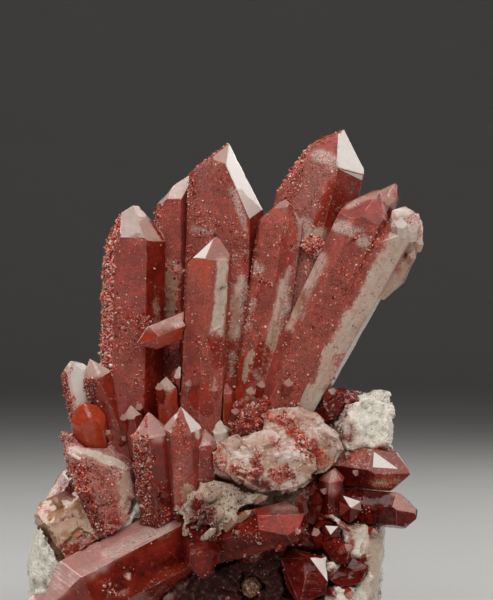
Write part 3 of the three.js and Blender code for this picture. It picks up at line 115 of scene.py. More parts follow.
# the white and whitew faces are partly their own pale colour and partly a painted reflection of the lamps
FACES = {
    "T1": {"p":"mauve","t":"tipgrey","t1":"palep","p1":"deep","p5":"gritty","p4":"mdruse","c0":"gritty","c1":"tipgrey"},
    "T2": {"p":"sred","t":"pale","p1":"mauve","p5":"mdruse"},
    "T3": {"p":"sred","t":"palep","c0":"white","c1":"palep","c2":"mdruse","c3":"palem","c4":"palep","p5":"mdruse","p1":"brown","t5":"mdruse"},
    "T4": {"p":"sred","t":"redvel","p1":"mauveb","c0":"palem"},
    "T5": {"p":"brick","t":"whitew","t0":"white","t1":"rose","t2":"rose","p1":"brick"},
    "T6": {"p":"retic","t":"mauve","t1":"whitew","p1":"brown","p5":"mdruse","c0":"druse","c1":"mdruse","t5":"mdruse"},
    "T7": {"p":"sred","t":"mauve","p5":"mauve","p1":"sred"},
    "T7b": {"p":"pepper","t":"frost","p0":"pepper","p5":"sred"},
    "T7c": {"p":"beige","t":"beige"},
    "T8": {"p":"deep","t":"palem","t1":"mauve","p0":"palem"},
    "C1": {"p":"deep","t":"deep","p1":"rose","p5":"brown","t1":"pink"},
    "K1": {"p":"kvel","t":"palem","p1":"deep","t1":"pink","t0":"pdruse"},
    "K2": {"p":"mauve","t":"mauve","t1":"white","t5":"palep"},
    "K3": {"p":"brown","t":"palem"},
    "K3b": {"p":"green","t":"green"},
    "K4a": {"p":"beige","t":"beige"},
    "K4b": {"p":"beige","t":"beige"},
    "K6": {"p":"garnet","t":"garnetl","p1":"garnet"},
    "K7": {"p":"garnetl","t":"garnetl","t5":"mauve","c1":"k7tip","c0":"garnet","p0":"garnet"},
    "R3": {"p":"garnetl","t":"brown","p5":"mauveb","t5":"brown","t4":"brown","p4":"mauve"},
    "R4": {"p":"abyss","t":"garnet","p5":"abyss","t5":"palem","t0":"garnet"},
    "L1": {"p":"pinkw","t":"pinkw","p5":"mdruse","p0":"mdruse"},
    "L2": {"p":"amber","t":"palep","p0":"amber","p5":"mdruse"},
    "L3": {"p":"orange","t":"orange"},
    "L4": {"p":"crust","t":"crust"},
    "L5": {"p":"ochre","t":"ochre"},
    "M1": {"p":"amberr","t":"brown","p5":"amberr","p0":"palem"},
    "M2": {"p":"deep","t":"palep"},
    "M3": {"p":"amberr","t":"palep"},
    "M4": {"p":"amberr","t":"mauve"},
    "M5": {"p":"deep","t":"palep"},
    "R5b": {"p":"garnetl","t":"mauve"},
    "R5": {"p":"garnet"},
    "R5c": {"p":"garnet"},
    "R7": {"p":"garnet","t":"garnet"},
    "R2": {"p":"garnet","t":"garnet"},
    "R1b": {"p":"garnetl","t":"palem"},
    "R8": {"p":"garnet","t":"garnet"},
    "R9": {"p":"garnet"},
    "K8": {"p":"yellow","t":"yellow"},
    "L7": {"p":"pink","t":"pink"},
    "B1": {"p":"mauve","t":"palep","p3":"sred","p2":"deep"},
    "B2": {"p":"sred","t":"pale","p3":"mauve","p2":"brown","p4":"deep"},
    "B3": {"p":"deep","t":"palem","p3":"brown"},
    "B10": {"p":"brown","t":"palep"},
    "B4": {"p":"mauve","t":"palep","p3":"sred"},
    "B5": {"p":"sred","t":"pale","p2":"deep","p3":"mauve"},
    "B11": {"p":"deep","t":"palem"},
    "B6": {"p":"mdruse","t":"palep","p2":"mauve","p3":"sred"},
    "B7": {"p":"brown","t":"palep","p3":"deep"},
    "B12": {"p":"sred","t":"pale","p3":"mauve"},
    "B13": {"p":"deep","t":"palep","p3":"mdruse"},
    "B8": {"p":"mauve","t":"pale","p3":"deep"},
    "B9": {"p":"brown","t":"palem","p2":"deep"},
    "S1": {"p":"mdruse","t":"palep","p3":"deep"},
    "S2": {"p":"deep","t":"palem","p2":"sred"},
    "X7": {"p":"kdruse","t":"kdruse"},
}
# the white stains are bright streaks and spots, partly their own pale colour and partly painted highlights
STAINS = [
    ["T1","gritty",1,2.25,[[-25.8,-0.5,93.4],[-26.6,-3.2,76.5],[-26.3,-4.7,56.0]]],
    ["T1","mdruse",0.7,2.48,[[-22.8,-7.3,76.5],[-21.5,-7.4,66.5]]],
    ["T1","sred",0.8,2.25,[[-22.4,-7.3,65.4],[-19.7,-7.5,56.5]]],
    ["T1","mdruse",1,1.57,[[-19.2,-7.5,71.6],[-17.1,-6.9,69.4]]],
    ["T1","druse",0.9,0.68,[[-20.1,-7.4,59.2],[-19.5,-7.5,58.3]]],
    ["T1","deep",1,2.02,[[-15.4,-4.8,87.7],[-15.4,-4.6,79.8]]],
    ["T1","deep",1,0.68,[[-16.4,-0.4,94.0],[-14.1,-1.9,90.4]]],
    ["T1","brown",1,1.57,[[-15.6,-4.9,79.6],[-15.1,-4.2,76.9]]],
    ["T1","olive",1,1.57,[[-15.4,-4.5,75.6],[-14.9,-3.7,67.6]]],
    ["T1","brown",1,1.35,[[-16.8,-6.5,65.4],[-16.2,-5.4,58.7]]],
    ["T1","mauve",1,3.15,[[-21.9,-7.3,54.3],[-21.0,-7.4,46.5]]],
    ["T1","mauve",0.8,2.25,[[-21.0,-7.4,87.6],[-21.0,-7.4,79.8]]],
    ["T2","mauve",0.9,1.01,[[-9.3,1.3,97.9],[-9.3,1.5,85.1]]],
    ["T2","olive",1,2.02,[[-11.9,0.8,82.8],[-12.9,1.1,68.6]]],
    ["T2","brown",0.9,1.12,[[-14.7,1.9,79.4],[-14.0,1.2,68.6]]],
    ["T2","druse",1,1.12,[[-14.7,2.0,96.4],[-14.7,1.9,86.7]]],
    ["T2","pdruse",0.9,0.9,[[-12.2,0.9,85.1],[-9.9,0.7,82.8]]],
    ["T2","redvel",0.9,1.57,[[-12.9,0.9,90.0],[-11.9,0.8,87.3]]],
    ["T3","druse@p",1,1.35,[[-7.9,-0.9,104.4],[-7.9,-1.1,98.5]]],
    ["T3","pdruse@p",1,0.79,[[-3.7,-5.7,107.5],[-1.3,-7.0,105.8]]],
    ["T3","mdruse@p",1,2.25,[[-4.9,-4.4,105.1],[0.7,-6.5,103.2],[1.6,-6.3,101.0]]],
    ["T3","mauve",0.8,1.8,[[-2.6,-7.1,100.9],[-4.6,-4.9,98.8]]],
    ["T3","mdruse",0.8,1.8,[[-4.9,-4.7,96.1],[0.7,-6.3,93.9]]],
    ["T3","mauve",0.7,1.57,[[-0.6,-6.7,97.6],[0.3,-6.5,95.6]]],
    ["T3","frost",0.55,0.68,[[-7.4,-1.8,92.4],[-2.8,-6.9,91.6]]],
    ["T3","frost",0.9,0.68,[[1.8,-6.3,101.0],[3.4,-5.9,96.5],[4.9,-5.6,92.1]]],
    ["T3","brown@p",0.9,1.12,[[4.3,-4.2,99.7],[7.0,-1.9,94.0]]],
    ["T3","brown",1,1.8,[[6.1,-4.3,93.2],[6.5,-2.7,89.9]]],
    ["T3","redvel",1,1.8,[[-0.6,-6.5,90.3],[1.2,-6.1,86.7]]],
    ["T3","mauveb",1,2.25,[[2.9,-5.8,85.9],[2.1,-5.7,76.5]]],
    ["T3","icy",0.9,1.24,[[4.1,-5.5,81.0],[3.6,-5.5,76.9],[1.8,-5.6,68.7]]],
    ["T3","olive",0.7,0.79,[[2.9,-5.6,76.5],[1.2,-5.7,66.5]]],
    ["T3","pdruse",0.7,0.41,[[4.7,-5.4,81.8],[4.1,-5.4,77.4]]],
    ["T3","pdruse",0.8,0.68,[[4.7,-5.3,76.5],[3.6,-5.4,71.2]]],
    ["T3","brown",1,2.02,[[-0.6,-6.0,66.5],[1.6,-5.5,61.8]]],
    ["T3","amberr",0.7,0.9,[[0.3,-5.7,61.8],[0.7,-5.5,55.6]]],
    ["T3","beige",0.7,0.59,[[1.8,-5.5,64.9],[1.4,-5.5,59.6]]],
    ["T3","druse",1,0.59,[[0.3,-6.2,83.2],[1.4,-6.0,81.8],[2.3,-5.8,81.0]]],
    ["T3","mauve",0.8,3.15,[[-5.5,-5.1,56.4],[-2.2,-5.9,49.8]]],
    ["T3","beige",1,1.57,[[-3.7,-6.3,54.7],[-2.8,-6.0,49.8]]],
    ["T3","pdruse",0.9,0.5,[[2.1,-5.5,63.8],[4.7,-4.6,62.9]]],
    ["T3","brown",0.8,1.12,[[-2.8,-6.4,68.7],[-1.9,-6.2,63.1]]],
    ["T4","sred",1,3.15,[[8.3,-8.3,93.1],[11.4,-10.0,85.8]]],
    ["T4","palep",1,0.52,[[15.2,-7.0,97.4],[16.1,-6.8,95.6],[16.7,-7.6,93.4]]],
    ["T4","palep",0.9,0.45,[[16.7,-7.6,92.9],[16.9,-7.1,89.8]]],
    ["T4","orangev",0.7,0.68,[[9.2,-4.7,95.7],[11.4,-7.4,96.0],[13.1,-9.2,94.6]]],
    ["T4","orangev",0.6,0.68,[[14.9,-8.9,92.9],[15.6,-8.1,90.3]]],
    ["T4","druse",1,0.95,[[6.5,-8.1,82.0],[8.7,-9.1,80.9],[11.4,-9.8,79.2]]],
    ["T4","druse",1,0.56,[[9.6,-9.6,78.3],[10.5,-10.1,76.5]]],
    ["T4","frost",0.8,1.12,[[6.5,-7.0,84.9],[7.4,-8.4,83.1]]],
    ["T4","mauveb",1,2.25,[[7.2,-8.6,78.3],[9.6,-9.7,76.9]]],
    ["T4","sred",1,2.25,[[10.5,-10.0,78.3],[6.9,-8.9,69.9],[5.2,-8.4,65.4]]],
    ["T4","redvel",0.9,1.35,[[9.6,-9.7,76.5],[8.3,-9.4,72.5]]],
    ["T4","pdruse",1,0.68,[[6.3,-8.3,76.1],[4.9,-8.0,69.8]]],
    ["T4","icy",0.9,1.24,[[13.1,-8.6,79.8],[11.6,-8.9,73.2],[9.8,-9.3,65.4]]],
    ["T4","frost",0.8,0.79,[[14.5,-8.0,83.2],[13.1,-8.4,78.3],[14.1,-7.3,74.3]]],
    ["T4","olive",0.7,0.9,[[11.4,-8.9,71.6],[9.6,-9.3,64.1]]],
    ["T4","pdruse",0.8,0.45,[[12.7,-8.5,76.5],[11.4,-8.8,70.7]]],
    ["T4","brown",0.8,1.8,[[8.3,-9.7,65.4],[7.4,-9.6,60.6]]],
    ["T4","brown",0.9,1.35,[[4.5,-8.3,61.9],[2.5,-7.8,54.8]]],
    ["T4","beige",0.8,0.79,[[6.1,-8.8,65.0],[4.3,-8.3,59.2]]],
    ["T4","amberr",0.7,0.9,[[3.4,-7.8,60.5],[2.5,-7.7,55.2]]],
    ["T4","druse",1,0.68,[[6.1,-6.0,82.7],[8.3,-8.9,81.4],[10.0,-9.7,80.0]]],
    ["T4","palem",0.8,0.68,[[6.9,-9.4,60.6],[8.3,-9.5,57.7]]],
    ["T5","orangev@p",0.95,1.46,[[-7.4,-10.7,84.9],[-4.1,-13.2,84.4],[-4.5,-12.9,80.9]]],
    ["T5","orange@t",1,0.72,[[-7.6,-10.6,84.4],[-4.7,-12.7,84.2],[-2.5,-12.7,84.0]]],
    ["T5","orangev@p",0.6,1.35,[[-4.3,-13.1,75.2],[-4.7,-13.0,70.3],[-6.3,-11.9,67.7]]],
    ["T5","mauve@p",0.6,0.9,[[-8.5,-10.1,75.2],[-4.5,-13.0,76.5]]],
    ["T5","mauveb",0.8,1.57,[[-7.2,-11.2,68.6],[-6.3,-11.9,65.0]]],
    ["T5","brown",0.8,1.8,[[-6.3,-12.1,56.2],[-3.6,-11.8,52.7]]],
    ["T5","amberr",0.75,1.12,[[-4.1,-12.4,60.7],[-4.5,-12.3,53.6]]],
    ["T5","beige",0.7,0.68,[[-2.3,-11.6,62.0],[-2.5,-11.5,56.2]]],
    ["T5","mdruse",1,0.79,[[-9.5,-14.0,79.6],[-10.2,-15.2,73.9]]],
    ["T5","druse",0.9,0.56,[[-9.7,-15.3,82.2],[-10.1,-15.7,76.5]]],
    ["T5","greenish",0.95,1.35,[[-0.6,-11.8,84.0],[-1.0,-11.7,76.5],[-1.7,-11.7,69.9]]],
    ["T5","white",0.6,0.32,[[-2.5,-12.0,69.0],[-1.0,-11.4,70.3]]],
    ["T5","gritty",1,1.57,[[-8.9,-12.8,84.4],[-9.6,-13.2,75.4]]],
    ["T5","dark",1,0.29,[[-1.0,-11.8,78.9],[0.1,-11.3,79.8]]],
    ["T5","mauve",0.9,2.25,[[-7.6,-10.8,72.1],[-6.7,-11.7,60.6]]],
    ["T5","sred",0.8,2.25,[[-4.5,-12.8,67.7],[-4.1,-12.3,60.0]]],
    ["T5","frost",1,0.41,[[-2.8,-12.1,69.0],[-1.4,-11.6,70.3]]],
    ["T5","brown",0.7,1.35,[[-2.1,-11.8,67.7],[-1.0,-11.1,62.8]]],
    ["T6","druse",1,1.12,[[18.2,-1.8,109.2],[16.3,-4.3,103.7],[13.4,-3.6,97.7],[10.1,1.8,92.3]]],
    ["T6","frost",0.8,1.35,[[20.8,-4.4,109.3],[24.7,-6.4,107.4]]],
    ["T6","brown",1,2.7,[[25.2,-5.9,101.0],[23.0,-5.7,92.5]]],
    ["T6","brown",0.8,1.35,[[28.0,-3.5,101.1],[27.1,-3.2,96.6]]],
    ["T6","frost",1,1.57,[[17.4,-5.2,93.0],[18.1,-5.5,90.3]]],
    ["T6","beige",1,1.8,[[21.6,-6.5,90.7],[19.9,-6.1,89.0]]],
    ["T6","icy",0.9,1.8,[[11.0,-3.5,85.0],[9.6,-3.7,72.0]]],
    ["T6","dkred",0.8,0.9,[[14.5,-4.4,88.8],[15.0,-4.8,85.0]]],
    ["T7","frost",0.9,0.9,[[27.8,-8.7,97.3],[30.5,-7.8,98.9],[32.7,-8.2,99.3]]],
    ["T7","mauve",1,1.57,[[30.7,-12.1,95.7],[32.9,-12.0,93.7]]],
    ["T7","frost",1,1.35,[[25.0,-10.5,92.8],[28.0,-12.9,91.9],[30.7,-12.0,89.3]]],
    ["T7","druse",0.9,0.54,[[24.6,-11.0,90.6],[27.6,-12.7,89.3],[29.8,-12.4,91.0]]],
    ["T7","redvel",0.8,0.9,[[25.5,-10.1,95.1],[27.7,-11.2,95.5]]],
    ["T7","mauve",0.9,1.35,[[24.1,-11.4,88.4],[27.6,-12.4,87.5]]],
    ["T7","icy",1,2.02,[[19.8,-9.3,84.9],[17.1,-9.5,76.5],[15.8,-10.2,71.6]]],
    ["T7","redvel",0.8,1.12,[[13.6,-10.8,65.0],[11.8,-11.7,58.4]]],
    ["T7","pdruse",0.8,0.56,[[21.5,-9.7,86.7],[23.2,-12.0,84.9],[20.6,-10.7,81.8]]],
    ["T7","olive",0.6,1.12,[[16.6,-10.6,80.9],[15.4,-8.8,74.3]]],
    ["T7","frost",0.8,0.68,[[21.5,-10.5,84.4],[18.4,-10.8,76.5],[15.8,-11.4,68.8]]],
    ["T7","brown",0.6,0.79,[[17.6,-9.3,78.3],[15.8,-10.6,70.8]]],
    ["T7","icy",1,1.35,[[20.7,-9.5,84.9],[23.6,-12.6,83.1]]],
    ["T7","palem",1,0.9,[[32.2,-8.0,99.3],[35.5,-5.6,100.6]]],
    ["T7","frost",0.8,1.35,[[20.2,-9.1,84.9],[23.2,-12.7,82.7]]],
    ["T7","sred",1,2.48,[[25.0,-12.6,84.9],[20.6,-12.4,76.5],[17.1,-11.8,66.6]]],
    ["T7","brick",0.9,2.02,[[17.7,-11.6,66.6],[16.6,-11.0,60.6]]],
    ["T7","brick",0.8,1.8,[[19.7,-10.7,62.8],[18.1,-6.4,55.1]]],
    ["T7","mdruse",0.8,1.12,[[13.8,-11.0,65.0],[13.8,-11.5,59.7]]],
    ["T7b","sred",1,2.7,[[36.7,-8.1,92.9],[32.5,-11.5,84.9],[27.2,-11.3,76.9],[22.8,-10.9,69.0]]],
    ["T7b","pepper",1,2.7,[[39.6,-10.7,90.6],[35.2,-10.3,82.7],[29.5,-9.8,72.5],[24.2,-9.1,62.1]]],
    ["T7b","brown",0.45,0.68,[[31.3,-9.3,72.5],[27.8,-9.0,66.3],[24.7,-8.3,60.5]]],
    ["T7b","mauve",0.8,1.35,[[34.8,-10.3,94.2],[36.9,-11.4,95.5]]],
    ["T7b","mauveb",0.9,1.8,[[25.1,-9.0,63.2],[21.7,-4.2,53.7]]],
    ["T7b","palem",0.8,0.68,[[39.1,2.5,79.2],[33.2,2.3,69.3],[28.3,3.2,60.2]]],
    ["T7b","redvel",0.8,1.12,[[20.6,-10.5,64.1],[19.3,-9.7,58.8]]],
    ["T7c","white",1,1.8,[[38.6,-5.8,96.1],[41.3,-4.7,95.7]]],
    ["T7c","glass",1,1.57,[[39.9,-6.0,93.9],[41.0,-5.9,91.6]]],
    ["T7c","mdruse",1,0.79,[[43.8,-4.7,89.9],[42.8,-2.4,86.4]]],
    ["T7c","frost",1,0.9,[[39.8,-6.8,85.8],[42.9,-0.7,85.9]]],
    ["T7c","dark",1,0.41,[[38.7,-7.2,87.2],[40.3,-6.8,86.7]]],
    ["T7c","brown",0.5,1.8,[[37.1,-7.8,89.8],[38.5,-7.0,84.9]]],
    ["T8","palem",1,1.8,[[34.8,-1.5,99.8],[37.5,-1.6,99.8]]],
    ["T8","mauve",1,0.68,[[38.4,-0.9,100.5],[38.8,1.3,97.7]]],
    ["C1","pink",1,1.8,[[-35.2,-25.5,13.8],[-26.7,-25.0,19.3],[-20.9,-19.5,23.3]]],
    ["C1","scr",1,1.8,[[-24.3,-21.0,21.9],[-19.4,-18.2,24.3],[-13.4,-15.7,26.6]]],
    ["C1","pink",1,2.02,[[-38.4,-23.6,12.3],[-36.2,-24.5,14.1]]],
    ["C1","dust",1,1.57,[[-26.6,-26.3,14.3],[-22.0,-24.1,14.1]]],
    ["C1","garnetl",1,2.25,[[-22.4,-23.7,17.9],[-10.7,-17.6,20.7]]],
    ["C1","abyss",0.9,1.57,[[-16.9,-21.2,16.7],[-9.2,-17.0,19.8]]],
    ["C1","abyss",0.75,1.35,[[-27.0,-26.6,13.5],[-22.0,-24.0,14.9]]],
    ["C1","glint",0.8,0.79,[[-21.6,-23.3,17.4],[-20.1,-22.5,18.2]]],
    ["C1","brown",0.9,2.02,[[-16.1,-21.2,14.1],[-9.2,-17.4,17.6]]],
    ["C1","white",1,0.36,[[-20.9,-23.1,17.2],[-20.5,-23.0,16.3]]],
    ["C1","deep",0.9,1.8,[[-33.0,-26.5,11.3],[-27.6,-26.9,13.9]]],
    ["C1","pdruse@p1",0.0,0.23,[[-22.9,-23.4,20.4],[-21.2,-22.5,21.2]]],
    ["K1","pdruse",1,1.35,[[-18.4,-16.8,46.8],[-18.9,-16.5,44.6]]],
    ["K1","palem",1,1.35,[[-18.3,-15.3,49.4],[-17.3,-17.0,47.7]]],
    ["K1","pink",1,1.8,[[-14.5,-16.4,48.1],[-14.0,-17.1,46.4]]],
    ["K1","deep",1,1.8,[[-14.0,-16.9,43.3],[-12.8,-15.8,38.4]]],
    ["K1","kvel",1,2.02,[[-18.4,-16.1,41.1],[-16.7,-14.7,28.3]]],
    ["K1","kdark",1,1.8,[[-15.8,-16.7,35.5],[-14.1,-15.6,27.5]]],
    ["K2","sred",0.9,1.57,[[-9.4,-18.2,48.6],[-9.0,-18.1,42.7]]],
    ["K2","white",1,0.9,[[-6.8,-16.9,49.2],[-5.7,-16.8,47.2]]],
    ["K2","palep",1,0.9,[[-12.3,-15.7,49.4],[-11.5,-15.7,50.7]]],
    ["K2","retic",0.8,1.57,[[-8.8,-18.0,42.1],[-10.6,-16.0,32.8]]],
    ["K2","ochre",0.9,1.35,[[-8.4,-16.6,35.0],[-7.5,-16.0,31.5]]],
    ["K3","brown",1,2.02,[[-4.0,-16.0,42.6],[-3.6,-15.1,37.1]]],
    ["K3","palem",0.9,0.68,[[-5.3,-16.0,44.8],[-4.0,-15.0,46.7]]],
    ["K3","beige",0.8,1.57,[[-4.7,-14.9,34.9],[-3.8,-14.3,31.5]]],
    ["K3b","green",1,1.57,[[-1.2,-11.6,49.0],[-0.6,-12.4,45.7]]],
    ["K4a","crm",1,1.35,[[9.6,-11.7,52.7],[13.3,-10.4,53.3],[16.6,-11.6,52.3]]],
    ["K4a","orange",1,1.35,[[9.6,-13.9,51.0],[13.3,-15.6,49.2],[16.5,-15.9,46.3]]],
    ["K4a","pdruse",1,1.12,[[12.2,-14.9,50.4],[14.4,-15.4,49.4]]],
    ["K4a","glassm",1,1.8,[[17.9,-12.4,51.2],[20.5,-14.8,46.7]]],
    ["K4a","orangeb",0.6,0.59,[[20.2,-10.4,51.8],[23.2,-11.5,47.9],[25.0,-12.1,44.4]]],
    ["K4a","amberr",0.5,0.9,[[14.8,-13.4,51.9],[16.6,-14.3,50.2]]],
    ["K4a","glassg",1,1.8,[[22.4,-11.2,48.9],[24.8,-12.2,44.6]]],
    ["K4a","pdruse",0.9,1.12,[[16.5,-16.0,45.9],[19.2,-16.1,43.3]]],
    ["K4a","sred",1,1.12,[[19.6,-15.8,44.4],[21.4,-14.8,41.0]]],
    ["K4a","orangeb",0.9,1.12,[[21.4,-14.8,41.9],[23.6,-13.4,40.5]]],
    ["K4b","crm",1,1.8,[[5.2,-16.3,46.8],[10.0,-16.4,47.7]]],
    ["K4b","amberr",0.55,1.35,[[-0.5,-17.0,43.8],[1.3,-19.8,39.6]]],
    ["K4b","orangeb",0.7,0.68,[[6.0,-19.0,44.8],[10.8,-20.1,43.5],[13.4,-18.6,44.3]]],
    ["K4b","brown",0.55,0.68,[[2.5,-17.8,44.7],[4.3,-20.2,41.4]]],
    ["K4b","glassg",1,2.02,[[1.7,-18.2,43.4],[4.7,-20.0,42.6]]],
    ["K4b","glassg",1,1.8,[[12.5,-19.9,42.6],[16.5,-18.0,43.8]]],
    ["K4b","palem",1,1.35,[[10.4,-18.0,46.0],[14.3,-16.8,45.9]]],
    ["K4b","pdruse",1,1.12,[[16.9,-17.4,44.7],[19.5,-18.0,43.0]]],
    ["K4b","druse",1,1.24,[[6.7,-20.7,42.3],[7.3,-20.9,39.2]]],
    ["K4b","abyss",1,1.12,[[6.9,-21.0,37.5],[9.5,-20.9,35.8]]],
    ["K4b","velvet",1,1.57,[[11.2,-20.5,38.8],[13.8,-20.0,38.3]]],
    ["K4b","crm",1,1.12,[[13.4,-20.4,35.5],[16.9,-19.5,37.4]]],
    ["K4b","mdruse",0.9,1.12,[[3.0,-20.3,39.6],[5.2,-20.8,38.4]]],
    ["K4b","brown",0.9,2.02,[[-1.5,-9.8,36.7],[3.4,-17.4,36.4]]],
    ["K4b","mauveb",0.8,1.8,[[-2.2,-17.9,41.2],[-0.5,-19.2,39.6]]],
    ["K6","brown",0.5,1.12,[[-6.1,-23.1,23.0],[-5.4,-23.7,20.0]]],
    ["K7","mdruse",0.16,1.8,[[1.7,-21.3,26.3],[8.2,-24.0,25.7]]],
    ["K7","abyss",0.9,0.9,[[-2.7,-19.1,22.6],[3.4,-20.4,21.9],[13.3,-25.1,24.9]]],
    ["K7","abyss",0.6,0.68,[[-1.2,-65.9,34.4],[3.6,-100.1,39.5]]],
    ["K7","garnet",0.8,1.57,[[0.2,-19.0,21.1],[7.9,-238.6,42.8]]],
    ["K7","deep",0.8,2.02,[[0.8,-18.6,29.5],[8.2,-21.6,30.6]]],
    ["K7","orangeb",0.5,0.45,[[3.4,-20.3,21.6],[12.1,-24.0,23.7],[15.9,-24.6,24.9]]],
    ["K7","palem",0.5,1.12,[[11.2,-20.6,31.4],[16.0,-21.3,31.5]]],
    ["R3","beige",1,1.12,[[26.7,-1.2,44.2],[31.4,-6.5,43.6]]],
    ["R3","abyss",0.85,0.79,[[25.6,-8.2,38.4],[31.7,-10.6,37.6]]],
    ["R3","olive",0.8,0.9,[[33.0,-10.2,35.9],[37.9,-9.7,36.3]]],
    ["R3","brown",1,1.57,[[35.5,-8.7,42.8],[38.8,-9.3,40.2]]],
    ["R3","garnet",0.9,1.57,[[26.7,-8.3,37.7],[29.9,-9.5,37.1]]],
    ["R3","orangeb",0.5,1.12,[[32.6,-10.3,36.3],[36.5,-10.2,36.7]]],
    ["R4","palem",1,0.68,[[37.4,-11.1,33.7],[40.5,-11.1,31.7]]],
    ["R4","glint",0.9,1.35,[[28.2,-9.6,32.7],[31.2,-11.6,30.7]]],
    # a painted highlight: a thin pale line along one of R4's edges
    ["R4","edge",0.8,0.27,[[34.0,-8.8,26.4],[40.0,-12.1,27.2]]],
    ["L1","pinkw",1,3.15,[[-33.0,-7.7,60.5],[-32.2,-6.4,54.3]]],
    ["L1","mdruse",1,1.12,[[-35.8,-6.3,59.8],[-34.5,-5.4,53.8]]],
    ["L1","dark",0.8,0.2,[[-35.0,-7.3,61.4],[-34.8,-7.6,61.4]]],
    ["L2","palep",1,1.35,[[-29.4,-8.3,61.0],[-28.2,-9.6,59.2]]],
    ["L2","amber",1,2.02,[[-27.6,-9.4,57.0],[-25.4,-8.0,50.3]]],
    ["L2","brown",0.7,1.12,[[-25.8,-8.8,56.1],[-24.1,-8.0,49.0]]],
    ["L2","abyss",0.55,0.68,[[-24.1,-8.0,57.9],[-23.3,-7.3,52.1]]],
    ["L2","kdark",1,1.35,[[-30.0,-8.9,57.7],[-28.8,-8.1,53.9]]],
    ["L2","mdruse",0.8,0.68,[[-23.4,-12.7,58.9],[-23.7,-7.3,54.3]]],
    ["L3","orange",1,2.7,[[-31.4,-11.2,51.1],[-28.6,-10.9,47.8]]],
    ["L4","green",1,1.35,[[-33.1,-12.1,43.9],[-27.4,-11.6,42.3],[-22.2,-11.5,40.4]]],
    ["L4","white",1,0.54,[[-34.0,-11.8,44.3],[-31.8,-12.9,43.1]]],
    ["L4","white",1,0.54,[[-33.9,-13.6,43.1],[-31.9,-14.4,42.1]]],
    ["L4","crust",1,2.25,[[-29.9,-15.2,39.3],[-26.3,-15.9,32.8]]],
    ["L4","druse",1,1.57,[[-32.0,-15.2,39.3],[-29.4,-16.3,30.2]]],
    ["L4","beige",1,1.8,[[-22.0,-13.8,37.9],[-21.6,-14.4,31.6]]],
    ["L4","kdark",1,1.8,[[-30.7,-16.1,32.8],[-26.3,-16.6,25.4]]],
    ["L4","retic",1,2.02,[[-26.4,-15.2,37.1],[-24.5,-16.4,28.4]]],
    ["L4","brown",0.8,1.35,[[-24.1,-16.4,28.4],[-22.3,-17.5,25.9]]],
    ["L5","deep",1,1.57,[[-36.1,-7.2,36.5],[-33.6,-11.1,34.2]]],
    ["L5","pinkw",1,0.68,[[-35.4,-5.6,38.6],[-34.3,-7.9,37.0]]],
    ["L5","orangeb",1,1.12,[[-40.8,-10.1,30.1],[-38.4,-12.7,29.4]]],
    ["L5","ochre",1,2.7,[[-35.6,-14.3,29.4],[-31.1,-15.6,26.2]]],
    ["L5","palem",1,0.68,[[-37.6,-8.8,34.0],[-34.0,-11.7,33.3]]],
    ["L5","brown",1,1.8,[[-34.6,-16.6,21.5],[-30.6,-16.6,22.8]]],
    ["L5","dkred",0.7,0.23,[[-36.0,-14.6,28.3],[-33.0,-14.5,29.6]]],
    ["L5","dkred",0.9,0.36,[[-32.0,-15.9,25.1],[-28.5,-16.4,24.5]]],
    ["L7","pink",1,2.02,[[-42.6,-14.6,11.6],[-38.3,-13.4,12.4]]],
    ["M1","palem",1,1.35,[[-16.0,-12.3,70.3],[-10.3,-9.9,72.5]]],
    ["M1","amberr",1,1.57,[[-16.8,-12.5,67.7],[-11.6,-11.2,68.6]]],
    ["M1","mdruse",1,0.9,[[-19.2,-9.3,69.9],[-18.6,-1.7,71.6]]],
    ["M3","palep",1,1.35,[[-13.4,-10.5,58.4],[-12.0,-11.5,57.1]]],
    ["M3","amberr",1,1.57,[[-12.9,-11.4,54.9],[-12.0,-11.2,53.3]]],
    ["M3","druse",1,0.79,[[-15.7,-7.9,58.3],[-15.2,-7.9,54.8]]],
    ["M2","druse",0.9,0.68,[[-11.7,-8.2,60.5],[-11.2,-8.3,57.9]]],
    ["R5b","palem",1,1.35,[[23.2,-12.4,38.2],[23.9,-12.8,34.7]]],
    ["R1b","mauve",0.7,1.12,[[23.4,-7.2,56.1],[30.2,-3.1,55.0]]],
]
# painted reflection: the white faces listed here are partly their own pale colour and partly a painted reflection of
# the lamps
FACETS = [
    ["R9","white",[20.74,-21.51,19.16]],
    ["R5","white",[27.78,-13.7,32.6]],
    ["R5c","white",[23.47,-17.56,26.8]],
    ["R5","mauve",[26.24,-13.74,30.84]],
    ["R5","palem",[28.87,-13.84,30.85]],
]
# painted reflection: the white and whitew marks are partly their own pale colour and partly a painted reflection of the
# lamps
MARKS = [
    ["R3","white",[[33.06,-9.2,42.95],[38.32,-9.93,39.19],[32.71,-10.88,39.61]]],
    ["K2","white",[[-7.19,-18.99,47.45],[-5.0,-15.74,48.07],[-4.98,-15.63,47.3],[-6.64,-18.01,46.01]]],
    ["T6","whitew",[[25.63,-6.63,105.49],[30.97,-1.75,104.47],[30.75,-1.67,103.35]]],
    ["T7","palem",[[30.95,-7.0,100.05],[34.38,-7.15,100.71],[33.23,-8.73,99.16]]],
    ["T7","palem",[[34.56,-7.23,100.6],[35.25,-7.59,97.59],[33.41,-8.75,98.98]]],
    ["R4","whitew",[[37.59,-11.11,33.71],[40.79,-11.02,31.61],[37.73,-12.52,32.06]]],
    ["T4","palep",[[14.19,-6.0,97.98],[15.18,-6.51,96.52],[17.01,-7.37,93.62],[15.48,-8.43,93.9],[14.49,-7.68,95.81]]],
    ["T4","palep",[[15.54,-8.49,93.56],[17.21,-7.26,93.25],[16.95,-7.11,89.83],[16.45,-7.45,90.27],[15.81,-8.09,91.8]]],
]
